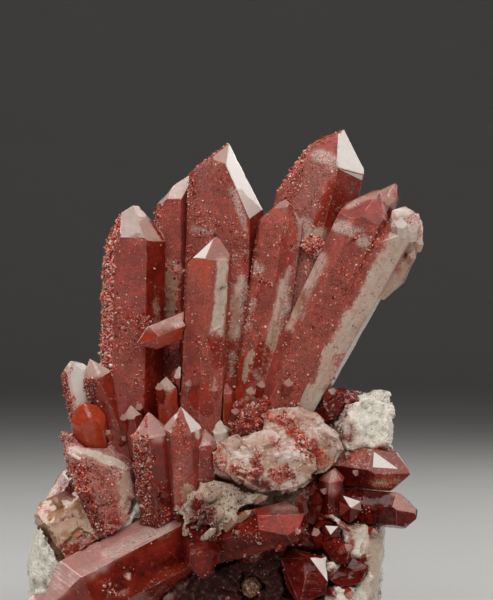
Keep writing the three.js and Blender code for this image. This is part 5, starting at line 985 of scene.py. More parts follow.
def normals(P, T):
    fn = np.cross(P[T[:, 1]] - P[T[:, 0]], P[T[:, 2]] - P[T[:, 0]])
    vn = np.zeros_like(P)
    for k in range(3):
        for a in range(3):
            vn[:, a] += np.bincount(T[:, k], weights=fn[:, a], minlength=len(P))
    l = np.linalg.norm(vn, axis=1)
    l[l == 0] = 1
    return vn / l[:, None], fn


# ------------------------------------------------------------------ node materials
class Tree:
    def __init__(self, name):
        self.m = bpy.data.materials.new(name)
        self.m.use_nodes = True
        self.t = self.m.node_tree
        self.t.nodes.clear()
        self.out = self.t.nodes.new("ShaderNodeOutputMaterial")
        self.b = self.t.nodes.new("ShaderNodeBsdfPrincipled")
        self.t.links.new(self.b.outputs[0], self.out.inputs[0])
        tc = self.t.nodes.new("ShaderNodeTexCoord")
        s = self.t.nodes.new("ShaderNodeVectorMath")
        s.operation = "SCALE"
        s.inputs[3].default_value = 1000.0
        self.t.links.new(tc.outputs["Object"], s.inputs[0])
        self.mm = s.outputs[0]

    def link(self, a, b):
        self.t.links.new(a, b)

    def put(self, sock, v):
        if hasattr(v, "is_linked") or hasattr(v, "links"):
            self.t.links.new(v, sock)
        else:
            sock.default_value = v

    def math(self, op, a, b=0.0, c=0.0, clamp=False):
        n = self.t.nodes.new("ShaderNodeMath")
        n.operation = op
        n.use_clamp = clamp
        for i, v in enumerate((a, b, c)):
            self.put(n.inputs[i], v)
        return n.outputs[0]

    def ramp(self, x, lo, hi, a=0.0, b=1.0):
        n = self.t.nodes.new("ShaderNodeMapRange")
        n.interpolation_type = "SMOOTHSTEP"
        self.put(n.inputs[0], x)
        for i, v in enumerate((lo, hi, a, b)):
            self.put(n.inputs[1 + i], v)
        return n.outputs[0]

    def mix(self, f, a, b):
        n = self.t.nodes.new("ShaderNodeMix")
        n.data_type = "RGBA"
        self.put(n.inputs[0], f)
        for i, v in ((6, a), (7, b)):
            if isinstance(v, tuple):
                v = (*v, 1.0)
            self.put(n.inputs[i], v)
        return n.outputs[2]

    def times(self, f, a, b):
        n = self.t.nodes.new("ShaderNodeMix")
        n.data_type = "RGBA"
        n.blend_type = "MULTIPLY"
        self.put(n.inputs[0], f)
        for i, v in ((6, a), (7, b)):
            if isinstance(v, tuple):
                v = (*v, 1.0)
            self.put(n.inputs[i], v)
        return n.outputs[2]

    def noise(self, scale, detail=2.0, rough=0.5, vector=None, distort=0.0):
        n = self.t.nodes.new("ShaderNodeTexNoise")
        n.inputs["Scale"].default_value = scale
        n.inputs["Detail"].default_value = detail
        n.inputs["Roughness"].default_value = rough
        n.inputs["Distortion"].default_value = distort
        self.link(vector or self.mm, n.inputs["Vector"])
        return n.outputs[0]

    def voronoi(self, scale, feature="F1", vector=None, out="Distance"):
        n = self.t.nodes.new("ShaderNodeTexVoronoi")
        n.feature = feature
        n.inputs["Scale"].default_value = scale
        self.link(vector or self.mm, n.inputs["Vector"])
        return n.outputs[out]

    def attribute(self, name):
        n = self.t.nodes.new("ShaderNodeAttribute")
        n.attribute_name = name
        s = self.t.nodes.new("ShaderNodeSeparateColor")
        self.link(n.outputs["Color"], s.inputs[0])
        return s.outputs[0], s.outputs[1], s.outputs[2], n.outputs["Alpha"], n.outputs["Vector"]

    def bump(self, height, strength=0.5, distance=0.0001, normal=None):
        n = self.t.nodes.new("ShaderNodeBump")
        n.inputs["Strength"].default_value = strength
        n.inputs["Distance"].default_value = distance
        self.link(height, n.inputs["Height"])
        if normal is not None:
            self.link(normal, n.inputs["Normal"])
        return n.outputs[0]

    def combine(self, x, y, z):
        n = self.t.nodes.new("ShaderNodeCombineXYZ")
        for i, v in enumerate((x, y, z)):
            self.put(n.inputs[i], v)
        return n.outputs[0]


def quartz_material(name="quartz_skin", specular=0.4, rocky=False):
    t = Tree(name)
    red, pale, clear, dark, _ = t.attribute("za")
    orange, rough, speck, fleck, _ = t.attribute("zb")
    green, across, along, ident, _ = t.attribute("zc")

    def about(x, k):
        return t.math("MULTIPLY", t.math("SUBTRACT", x, 0.5), k)

    big = t.noise(0.26, 4, 0.55)
    mid = t.noise(0.85, 4, 0.62)
    fine = t.noise(2.3, 3, 0.65)
    grain = t.noise(6.5, 2, 0.6)
    coarse = t.ramp(rough, 0.3, 0.55)
    # growth lines across the prism
    lines = t.noise(1.0, 3, 0.62, t.combine(t.math("MULTIPLY", across, 0.10), t.math("MULTIPLY", along, 1.35), ident))
    # ragged, dusty edges to every patch
    wob = t.math("ADD", about(mid, 1.3), about(fine, 1.5))
    wob = t.math("ADD", wob, t.math("ADD", about(grain, 1.0), about(lines, 0.3)))
    streak = t.noise(1.0, 3, 0.6, t.combine(t.math("MULTIPLY", across, 1.5), t.math("MULTIPLY", along, 0.10), ident))
    r = t.ramp(t.math("ADD", red, wob), 0.28, 0.72)
    # white threads and flakes in the crust
    web = t.noise(1.5, 3, 0.6, distort=1.8)
    thread = t.ramp(t.math("ABSOLUTE", t.math("SUBTRACT", web, 0.5)), 0.045, 0.012)
    flake = t.ramp(t.noise(2.1, 4, 0.75, distort=0.8), 0.52, 0.62)
    lace = t.math("MAXIMUM", t.math("MULTIPLY", thread, 0.85), flake)
    p = t.math("MULTIPLY", pale, t.math("ADD", 1.0, t.math("MULTIPLY", wob, 0.45)), clamp=True)
    smoothp = t.math("POWER", p, 1.8)
    lacep = t.math("MULTIPLY", t.math("POWER", p, 0.7), lace)
    p = t.math("ADD", t.math("MULTIPLY", smoothp, t.math("SUBTRACT", 1.0, t.math("MULTIPLY", coarse, 0.55))), t.math("MULTIPLY", coarse, t.math("MULTIPLY", lacep, 0.8)), clamp=True)
    o = t.math("MULTIPLY", orange, t.math("ADD", 0.75, t.math("MULTIPLY", wob, 0.8)), clamp=True)
    # red iron stain: brick, with darker and mauve mottling
    even = t.math("ADD", 0.34, t.math("MULTIPLY", t.ramp(streak, 0.3, 0.7), 0.16))
    even = t.math("ADD", even, t.math("MULTIPLY", t.ramp(mid, 0.32, 0.68), 0.36))
    both = t.math("ADD", t.math("MULTIPLY", coarse, t.ramp(mid, 0.36, 0.66)), t.math("MULTIPLY", t.math("SUBTRACT", 1.0, coarse), even), clamp=True)
    redc = t.mix(both, (0.17, 0.006, 0.003), (0.54, 0.040, 0.022))
    redc = t.mix(t.math("MULTIPLY", t.ramp(fine, 0.45, 0.75), t.math("ADD", 0.12, t.math("MULTIPLY", coarse, 0.36))), redc, (0.64, 0.092, 0.055))
    redc = t.times(t.math("MULTIPLY", t.ramp(fine, 0.5, 0.3), t.math("ADD", 0.06, t.math("MULTIPLY", coarse, 0.7))), redc, (0.42, 0.20, 0.18))
    redc = t.times(t.ramp(big, 0.60, 0.40, 0.0, 0.85), redc, (0.52, 0.36, 0.34))
    clearc = t.mix(t.ramp(big, 0.3, 0.7), (0.84, 0.60, 0.47), (0.66, 0.37, 0.25))
    clearc = t.mix(t.math("MULTIPLY", t.ramp(mid, 0.45, 0.8), 0.5), clearc, (0.88, 0.68, 0.52))
    palec = t.mix(t.ramp(mid, 0.3, 0.75), (0.80, 0.56, 0.49), (0.88, 0.70, 0.63))
    palec = t.mix(t.ramp(pale, 0.86, 1.0), palec, (0.90, 0.83, 0.77))
    greenc = t.mix(t.ramp(mid, 0.3, 0.75), (0.90, 0.84, 0.68), (0.97, 0.95, 0.86))
    col = t.mix(r, clearc, redc)
    col = t.mix(o, col, t.mix(r, t.mix(mid, (0.50, 0.25, 0.070), (0.78, 0.46, 0.17)), t.mix(mid, (0.50, 0.046, 0.014), (0.70, 0.115, 0.036))))
    col = t.mix(p, col, palec)
    col = t.mix(t.math("MULTIPLY", green, t.math("ADD", 0.35, t.math("MULTIPLY", p, 0.6))), col, greenc)
    # velvet of fine needles: bright ones, and painted shade in the dark gaps between them
    hair = t.noise(1.45, 2, 0.55, distort=2.6)
    velvet = t.math("MULTIPLY", coarse, t.math("MULTIPLY", t.math("MULTIPLY", speck, 1.5, clamp=True), t.ramp(mid, 0.22, 0.52, 0.5, 1.0)))
    needle = t.math("MULTIPLY", t.ramp(t.math("ABSOLUTE", t.math("SUBTRACT", hair, 0.5)), 0.045, 0.012), velvet)
    hair2 = t.noise(1.0, 3, 0.6, distort=3.2)
    needle = t.math("MAXIMUM", needle, t.math("MULTIPLY", t.ramp(t.math("ABSOLUTE", t.math("SUBTRACT", hair2, 0.5)), 0.030, 0.008), velvet))
    # painted shade: dark blotches between the needles
    painted_gap_shade = t.math("MULTIPLY", t.ramp(t.noise(1.7, 4, 0.7, distort=1.2), 0.50, 0.41), velvet)
    col = t.mix(t.math("MULTIPLY", painted_gap_shade, 0.80), col, (0.085, 0.007, 0.004))
    col = t.mix(t.math("MULTIPLY", needle, 0.80), col, t.mix(t.ramp(pale, 0.12, 0.5), (0.84, 0.25, 0.165), (0.96, 0.66, 0.56)))
    # streaks inside the clear parts, along the prism
    inner = t.math("MULTIPLY", clear, t.math("SUBTRACT", 1.0, r))
    col = t.mix(t.math("MULTIPLY", inner, t.ramp(streak, 0.54, 0.66, 0.0, 0.32)), col, (0.94, 0.84, 0.72))
    col = t.mix(t.math("MULTIPLY", inner, t.ramp(streak, 0.46, 0.34, 0.0, 0.28)), col, (0.36, 0.15, 0.08))
    # fine crystals in the skin: pale ones, partly their own colour and partly painted glints, and dark pits
    v1 = t.t.nodes.new("ShaderNodeTexVoronoi")
    v1.inputs["Scale"].default_value = 1.55
    t.link(t.mm, v1.inputs["Vector"])
    sc = t.t.nodes.new("ShaderNodeSeparateColor")
    t.link(v1.outputs["Color"], sc.inputs[0])
    dens = t.math("MULTIPLY", t.math("MULTIPLY", speck, t.ramp(mid, 0.3, 0.62, 0.25, 1.0)), t.ramp(big, 0.36, 0.58, 0.3, 1.15))
    rad = t.math("MULTIPLY", t.math("MULTIPLY", sc.outputs[0], sc.outputs[0]), t.math("MULTIPLY", dens, 0.62))
    spots = t.ramp(t.math("SUBTRACT", rad, v1.outputs["Distance"]), -0.02, 0.05)
    spotc = t.mix(t.ramp(sc.outputs[1], 0.5, 0.85), (0.82, 0.24, 0.15), (0.98, 0.90, 0.84))
    col = t.mix(t.math("MULTIPLY", spots, 0.85), col, spotc)
    v2 = t.t.nodes.new("ShaderNodeTexVoronoi")
    v2.inputs["Scale"].default_value = 2.2
    t.link(t.mm, v2.inputs["Vector"])
    sc2 = t.t.nodes.new("ShaderNodeSeparateColor")
    t.link(v2.outputs["Color"], sc2.inputs[0])
    rad2 = t.math("MULTIPLY", sc2.outputs[0], t.math("MULTIPLY", dens, 0.42))
    spots2 = t.ramp(t.math("SUBTRACT", rad2, v2.outputs["Distance"]), 0.0, 0.08)
    col = t.mix(t.math("MULTIPLY", spots2, 0.7), col, t.mix(t.ramp(sc2.outputs[1], 0.4, 0.9), (0.78, 0.20, 0.13), (0.94, 0.72, 0.64)))
    pits = t.math("MULTIPLY", t.ramp(t.math("SUBTRACT", t.math("MULTIPLY", sc2.outputs[2], t.math("MULTIPLY", coarse, 0.42)), v2.outputs["Distance"]), 0.0, 0.1), t.ramp(sc2.outputs[0], 0.5, 0.4))
    col = t.mix(t.math("MULTIPLY", pits, 0.75), col, (0.10, 0.010, 0.006))
    wv = t.noise(0.7, 1, 0.5)
    v3 = t.t.nodes.new("ShaderNodeTexVoronoi")
    v3.inputs["Scale"].default_value = 1.9
    t.link(t.mm, v3.inputs["Vector"])
    sc3 = t.t.nodes.new("ShaderNodeSeparateColor")
    t.link(v3.outputs["Color"], sc3.inputs[0])
    fn = t.math("MULTIPLY", t.math("MULTIPLY", fleck, t.ramp(wv, 0.4, 0.6, 0.15, 0.5)), t.math("MULTIPLY", sc3.outputs[0], sc3.outputs[0]))
    flecks = t.ramp(t.math("SUBTRACT", fn, v3.outputs["Distance"]), 0.0, 0.06)
    # hair-thin dark cracks in the clear parts
    cr = t.ramp(t.math("ABSOLUTE", t.math("SUBTRACT", t.noise(0.5, 3, 0.55, distort=0.9), 0.5)), 0.010, 0.003)
    flecks = t.math("MAXIMUM", flecks, t.math("MULTIPLY", cr, t.math("MULTIPLY", t.ramp(fleck, 0.2, 0.6), t.ramp(wv, 0.45, 0.6))))
    col = t.mix(t.math("MULTIPLY", flecks, 0.8), col, (0.075, 0.022, 0.010))
    col = t.mix(t.math("MULTIPLY", dark, t.ramp(mid, 0.3, 0.68, 0.55, 1.15), clamp=True), col, (0.022, 0.003, 0.002))
    col = t.times(t.math("MULTIPLY", t.ramp(lines, 0.5, 0.3), t.math("SUBTRACT", 0.28, t.math("MULTIPLY", p, 0.26))), col, (0.62, 0.5, 0.48))
    t.link(col, t.b.inputs["Base Color"])
    ro = t.math("ADD", t.math("MULTIPLY", rough, 0.74), about(grain, 0.16))
    ro = t.math("SUBTRACT", ro, t.math("MULTIPLY", spots, 0.15))
    t.link(t.math("MAXIMUM", ro, 0.05), t.b.inputs["Roughness"])
    tr = t.math("MULTIPLY", t.math("MULTIPLY", clear, t.math("SUBTRACT", 1.0, t.math("MULTIPLY", r, 0.7))), 0.42)
    tr = t.math("ADD", tr, t.math("MULTIPLY", t.ramp(rough, 0.3, 0.08), 0.16))
    tr = t.math("MULTIPLY", tr, t.math("SUBTRACT", 1.0, t.math("MAXIMUM", flecks, spots)))
    t.link(t.math("MAXIMUM", tr, 0.0, clamp=True), t.b.inputs["Transmission Weight"])
    t.b.inputs["IOR"].default_value = 1.544
    t.b.inputs["Specular IOR Level"].default_value = specular
    t.b.inputs["Subsurface Weight"].default_value = 0.12
    t.b.inputs["Subsurface Radius"].default_value = (1.0, 0.30, 0.18)
    t.b.inputs["Subsurface Scale"].default_value = 0.0010
    waves = t.noise(0.22, 2, 0.5)
    flatp = t.math("SUBTRACT", 1.0, t.math("MULTIPLY", t.ramp(pale, 0.9, 1.0), 0.85))
    h = t.math("MULTIPLY", t.math("ADD", t.math("MULTIPLY", lines, 0.55), t.math("MULTIPLY", waves, 1.8)), flatp)
    h = t.math("ADD", h, t.math("MULTIPLY", t.math("MULTIPLY", t.math("ADD", fine, grain), coarse), 2.6))
    h = t.math("ADD", h, t.math("MULTIPLY", t.math("SUBTRACT", t.math("ADD", spots, spots2), pits), 0.8))
    if rocky:
        # broken, sugary skin: small flat chips and pin holes
        h = t.math("ADD", h, t.math("MULTIPLY", t.voronoi(0.75), 3.4))
        h = t.math("ADD", h, t.math("MULTIPLY", t.voronoi(1.9), 1.8))
    t.link(t.bump(h, 0.6, 0.00016), t.b.inputs["Normal"])
    return t.m


def druse_material():
    t = Tree("druse_grains")
    r, g, b, wet, _ = t.attribute("tint")
    n = t.t.nodes.new("ShaderNodeCombineColor")
    for i, v in enumerate((r, g, b)):
        t.link(v, n.inputs[i])
    mid = t.noise(1.6, 2, 0.6)
    col = t.times(t.ramp(mid, 0.45, 0.75, 0.0, 0.5), n.outputs[0], (0.66, 0.42, 0.38))
    t.link(col, t.b.inputs["Base Color"])
    t.link(t.ramp(t.noise(5.0, 2, 0.6), 0.3, 0.75, 0.12, 0.4), t.b.inputs["Roughness"])
    t.b.inputs["Specular IOR Level"].default_value = 0.32
    t.link(t.math("MULTIPLY", wet, 0.15), t.b.inputs["Transmission Weight"])
    t.b.inputs["IOR"].default_value = 1.544
    t.b.inputs["Subsurface Weight"].default_value = 0.2
    t.b.inputs["Subsurface Radius"].default_value = (1.0, 0.4, 0.25)
    t.b.inputs["Subsurface Scale"].default_value = 0.0005
    t.link(t.bump(t.noise(6.0, 3, 0.6), 0.25, 0.00005), t.b.inputs["Normal"])
    return t.m


QUARTZ, ROCK, DRUSE = quartz_material(), quartz_material("rock_skin", 0.3, True), druse_material()
# painted shade: a copy of the quartz skin with a weaker reflection, for the parts that stand in shade (the SHADED
# nodes)
SHADED_QUARTZ = quartz_material("shaded_quartz_skin", 0.14)

# ------------------------------------------------------------------ grains of druse

def rhomb():
    """A closed rhombohedron standing on its corner, about 1 across."""
    v = [(0, 0, 0.86)]
    for k in range(3):
        a = math.radians(120 * k)
        v.append((0.82 * math.cos(a), 0.82 * math.sin(a), 0.29))
    for k in range(3):
        a = math.radians(120 * k + 60)
        v.append((0.82 * math.cos(a), 0.82 * math.sin(a), -0.29))
    v.append((0, 0, -0.86))
    q = [(0, 1, 4, 2), (0, 2, 5, 3), (0, 3, 6, 1), (7, 4, 1, 6), (7, 5, 2, 4), (7, 6, 3, 5)]
    f = []
    for a, b, c, d in q:
        f += [(a, b, c), (a, c, d)]
    return np.array(v) * 0.55, np.array(f)


def point():
    """A closed six-sided point, 1 across and 1.5 long, its tip along +Z."""
    v, f = [], []
    for z in (-0.5, 0.45):
        for k in range(6):
            a = math.radians(60 * k)
            v.append((0.5 * math.cos(a), 0.5 * math.sin(a), z))
    v += [(0, 0, 1.0), (0, 0, -0.6)]
    for k in range(6):
        j = (k + 1) % 6
        f += [(k, j, 6 + j), (k, 6 + j, 6 + k), (6 + k, 6 + j, 12), (j, k, 13)]
    return np.array(v), np.array(f)


def planted(P, T, C, seed, most, min_share=0.46):
    """Grains on the triangles by their druse channel. Returns place, direction, size, tint."""
    r = np.random.default_rng(seed)
    iD, iW, iS = CH.index("druse"), CH.index("white"), CH.index("size")
    fn = np.cross(P[T[:, 1]] - P[T[:, 0]], P[T[:, 2]] - P[T[:, 0]])
    area = np.linalg.norm(fn, axis=1) / 2
    c = C.reshape(-1, 3, len(CH)).mean(1)
    size = np.clip(c[:, iS], 0.22, 1)
    lump = noise(P[T].mean(1), 1.7, 31, 2)
    far = np.clip((noise(P[T].mean(1), 5.5, 37, 2) - 0.36) * 4, 0.12, 1.25)
    d = np.clip(c[:, iD] * np.where(c[:, iD] < 0.8, far, 1) * np.clip(0.35 + 1.5 * (lump - 0.1), 0.1, 1.4), 0, 1.3)
    w = area * d / (size * 0.66) ** 2
    n = int(min(most, w.sum() * 1.25))
    if n < 1:
        return None
    t = r.choice(len(T), n, p=w / w.sum())
    u, v = r.random(n), r.random(n)
    s = u + v > 1
    u[s], v[s] = 1 - u[s], 1 - v[s]
    q = P[T[t, 0]] * (1 - u - v)[:, None] + P[T[t, 1]] * u[:, None] + P[T[t, 2]] * v[:, None]
    nn = fn[t] / np.maximum(2 * area[t], 1e-9)[:, None]
    sz = size[t] * np.clip(np.exp(r.normal(0, 0.38, n)), 0.45, 2.1)
    grid, keep = {}, []
    for i in range(n):
        k = (int(q[i, 0] // 0.9), int(q[i, 1] // 0.9), int(q[i, 2] // 0.9))
        ok = True
        for a in (-1, 0, 1):
            for b in (-1, 0, 1):
                for e in (-1, 0, 1):
                    for j in grid.get((k[0] + a, k[1] + b, k[2] + e), ()):
                        g = q[i] - q[j]
                        if g @ g < (min_share * 0.5 * (sz[i] + sz[j])) ** 2:
                            ok = False
                            break
                    if not ok:
                        break
                if not ok:
                    break
            if not ok:
                break
        if ok:
            keep.append(i)
            grid.setdefault(k, []).append(i)
    keep = np.array(keep)
    cc = c[t[keep]]
    m = len(keep)
    dark = np.clip(cc[:, CH.index("dark")], 0, 1)
    org = np.clip(cc[:, CH.index("orange")], 0, 1)
    pick = r.random(m)
    # the two palest tones are partly the grains' own pale colour and partly painted glints
    tone = np.array([[0.26, 0.016, 0.010], [0.54, 0.055, 0.036], [0.80, 0.24, 0.17], [0.97, 0.66, 0.54]])
    w = np.clip(cc[:, iW], 0, 1)
    edges = np.stack([0.34 - 0.12 * w, 0.74 - 0.22 * w, 0.96 - 0.12 * w], 1)
    kind = (pick[:, None] > edges).sum(1)
    a = r.uniform(0.8, 1.2, (m, 1))
    tint = tone[kind] * a
    tint = tint * (1 - 0.5 * org[:, None]) + np.array([0.78, 0.20, 0.08]) * 0.5 * org[:, None]
    white = kind == 3
    g = np.clip(cc[:, CH.index("green")], 0, 1)[:, None]
    tint = tint * (1 - g) + np.array([0.88, 0.84, 0.72]) * g
    tint = np.clip(tint * (1 - 0.62 * dark[:, None] * (r.random((m, 1)) < 0.85)), 0, 0.97)
    return q[keep], nn[keep], sz[keep], np.concatenate([tint, white[:, None] * 1.0], 1), r


def grains(name, sets):
    """One joined mesh of closed grains."""
    V, F, CC, off = [], [], [], 0
    shapes = (rhomb(), point())
    for q, nn, sz, tint, r in sets:
        m = len(q)
        pick = r.random(m) < 0.22
        d = nn + r.normal(0, 0.42, (m, 3))
        d /= np.linalg.norm(d, axis=1)[:, None]
        h = r.normal(0, 1, (m, 3))
        e1 = np.cross(d, h)
        e1 /= np.linalg.norm(e1, axis=1)[:, None]
        e2 = np.cross(d, e1)
        for flag, (bv, bf) in zip((False, True), shapes):
            s = np.nonzero(pick == flag)[0]
            if not len(s):
                continue
            k = sz[s][:, None, None]
            st = (r.uniform(0.85, 1.35, len(s)))[:, None, None]
            loc = bv[None] * k
            w = loc[:, :, 0:1] * e1[s][:, None] + loc[:, :, 1:2] * e2[s][:, None] + loc[:, :, 2:3] * st * d[s][:, None]
            w = w + q[s][:, None] + nn[s][:, None] * (0.10 * k)
            V.append(w.reshape(-1, 3))
            F.append((bf[None] + (np.arange(len(s)) * len(bv))[:, None, None] + off).reshape(-1, 3))
            nf = len(bf) // 2 if not flag else len(bf)
            f = r.uniform(0.62, 1.3, (len(s), nf))
            # painted glints: about one facet in eleven is tinted near white, so the grain seems to catch the light from
            # any side
            painted_glint = r.random((len(s), nf)) < 0.09
            c3 = tint[s][:, None, :3] * f[:, :, None]
            c3 = np.where(painted_glint[:, :, None], c3 * 0.3 + np.array([0.97, 0.72, 0.62]) * 0.7, c3)
            if not flag:
                c3 = np.repeat(c3, 2, 1)
            c4 = np.concatenate([np.clip(c3, 0, 0.97), np.repeat(tint[s][:, None, 3:], len(bf), 1)], 2)
            CC.append(np.repeat(c4.reshape(-1, 4), 3, 0))
            off += len(s) * len(bv)
    if not V:
        return None
    V, F, CC = np.concatenate(V), np.concatenate(F), np.concatenate(CC)
    V[:, 2] = np.maximum(V[:, 2], 0.05)
    o = mesh_object(name, V, F, DRUSE, smooth=False)
    corner_colours(o.data, "tint", CC)
    return o


def chips(P, cell, seed):
    """Flat break facets: every point belongs to the nearest of a loose net of centres and lies on that centre's own tilted plane. Returns height (about -1 to 1) and nearness to the next facet."""
    q = P / cell
    f = np.floor(q).astype(np.int64)
    best = np.full(len(P), 1e9)
    second = np.full(len(P), 1e9)
    high = np.zeros(len(P))
    for a in (-1, 0, 1):
        for b in (-1, 0, 1):
            for c in (-1, 0, 1):
                i, j, k = f[:, 0] + a, f[:, 1] + b, f[:, 2] + c
                s = np.stack([i + lattice(i, j, k, seed), j + lattice(i, j, k, seed + 1), k + lattice(i, j, k, seed + 2)], 1)
                d = q - s
                r = (d * d).sum(1)
                t = np.stack([lattice(i, j, k, seed + 3 + e) for e in range(3)], 1) - 0.5
                h = (d * t).sum(1) * 2.6 + (lattice(i, j, k, seed + 7) - 0.5) * 1.1
                near = r < best
                second = np.where(near, best, np.minimum(second, r))
                high = np.where(near, h, high)
                best = np.where(near, r, best)
    return high, np.sqrt(second) - np.sqrt(best)


# ------------------------------------------------------------------ small crystals and what is sealed in the clear ones
def hexagon(foot, tip, r, blunt, steps=2):
    """A closed six-sided prism with a pointed end; blunt is the height of the point in radii. Points, triangles, and the part (0 side, 1 tip) of each triangle."""
    foot, tip = np.array(foot, float), np.array(tip, float)
    w = unit(tip - foot)
    e1 = unit(np.cross(w, [0.31, 0.9, 0.2]))
    e2 = np.cross(w, e1)
    length = np.linalg.norm(tip - foot)
    shoulder = max(length - blunt * r, length * 0.3)
    v = []
    for i in range(steps + 1):
        z = shoulder * i / steps
        for k in range(6):
            a = math.radians(60 * k)
            g = r * (1.0 + 0.10 * math.sin(3.1 * k + r * 9))
            zz = z + (0.22 * r * math.sin(2.3 * k + r * 5) if i == steps else 0)
            v.append(foot + w * zz + g * (math.cos(a) * e1 + math.sin(a) * e2))
    v += [tip, foot - w * r * 0.3]
    f, part = [], []
    n = 6 * (steps + 1)
    for i in range(steps):
        for k in range(6):
            j = (k + 1) % 6
            a, b, c, d = 6 * i + k, 6 * i + j, 6 * i + 6 + j, 6 * i + 6 + k
            f += [(a, b, c), (a, c, d)]
            part += [0, 0]
    for k in range(6):
        j = (k + 1) % 6
        f += [(6 * steps + k, 6 * steps + j, n), (j, k, n + 1)]
        part += [1, 0]
    return np.array(v), np.array(f), np.array(part)


def small_crystals(name, rows):
    """One joined mesh of small points: [foot, tip, radius, side finish, tip finish]."""
    V, F, C, Z, off = [], [], [], [], 0
    for n, (foot, tip, r, side, end) in enumerate(rows):
        v, f, part = hexagon(foot, tip, r, 1.35)
        v[:, 2] = np.maximum(v[:, 2], 0.05)
        V.append(v)
        F.append(f + off)
        off += len(v)
        tint = np.where(part[:, None] == 1, vec(end)[None], vec(side)[None])
        tint = np.repeat(tint, 3, 0)
        C.append(tint)
        z = np.zeros((len(tint), 4))
        q = v[f.reshape(-1)] - np.array(foot)
        w = unit(np.array(tip, float) - foot)
        z[:, 0] = tint[:, CH.index("green")]
        z[:, 1] = q[:, 0]
        z[:, 2] = q @ w
        z[:, 3] = n * 1.7
        Z.append(z)
    V, F, C, Z = np.concatenate(V), np.concatenate(F), np.concatenate(C), np.concatenate(Z)
    o = mesh_object(name, V, F, QUARTZ, smooth=False)
    corner_colours(o.data, "za", C[:, :4])
    corner_colours(o.data, "zb", C[:, 4:8])
    corner_colours(o.data, "zc", Z)
    return V, F, C


def flakes(name, rows):
    """One joined mesh of thin closed flakes: [centre, direction they face, radius, thickness, tint, stretch]."""
    r = np.random.default_rng(77)
    V, F, CC, off = [], [], [], 0
    for cen, face, rad, thick, tint, stretch in rows:
        w = unit(face)
        e1 = unit(np.cross(w, [0.2, 0.3, 0.93]))
        e2 = np.cross(w, e1)
        turn = r.uniform(0, 6.28)
        a1, a2 = math.cos(turn) * e1 + math.sin(turn) * e2, -math.sin(turn) * e1 + math.cos(turn) * e2
        m = 11
        k = r.uniform(0.6, 1.15, m)
        v = [np.array(cen) + rad * k[i] * (math.cos(6.2832 * i / m) * a1 * stretch + math.sin(6.2832 * i / m) * a2) + w * rad * 0.10 * math.sin(i * 1.9) for i in range(m)]
        v += [np.array(cen) + w * thick, np.array(cen) - w * thick]
        f = []
        for i in range(m):
            j = (i + 1) % m
            f += [(i, j, m), (j, i, m + 1)]
        V.append(np.array(v))
        F.append(np.array(f) + off)
        off += len(v)
        c = np.array(tint)[None] * r.uniform(0.8, 1.15, (len(f), 1))
        CC.append(np.repeat(np.concatenate([np.clip(c, 0, 0.97), np.zeros((len(f), 1))], 1), 3, 0))
    V, F, CC = np.concatenate(V), np.concatenate(F), np.concatenate(CC)
    o = mesh_object(name, V, F, DRUSE, smooth=False)
    corner_colours(o.data, "tint", CC)
    return o


def knob_mesh(cen, axes):
    """A small uneven lump: a ball pulled along three half axes (mm)."""
    bm = bmesh.new()
    bmesh.ops.create_icosphere(bm, subdivisions=3, radius=1.0)
    B = np.array([v.co for v in bm.verts])
    F = np.array([[v.index for v in f.verts] for f in bm.faces])
    bm.free()
    P = np.array(cen) + B @ np.array(axes)
    return P + B * ((noise(P, 1.4, 19, 2) - 0.5) * 1.1)[:, None], F


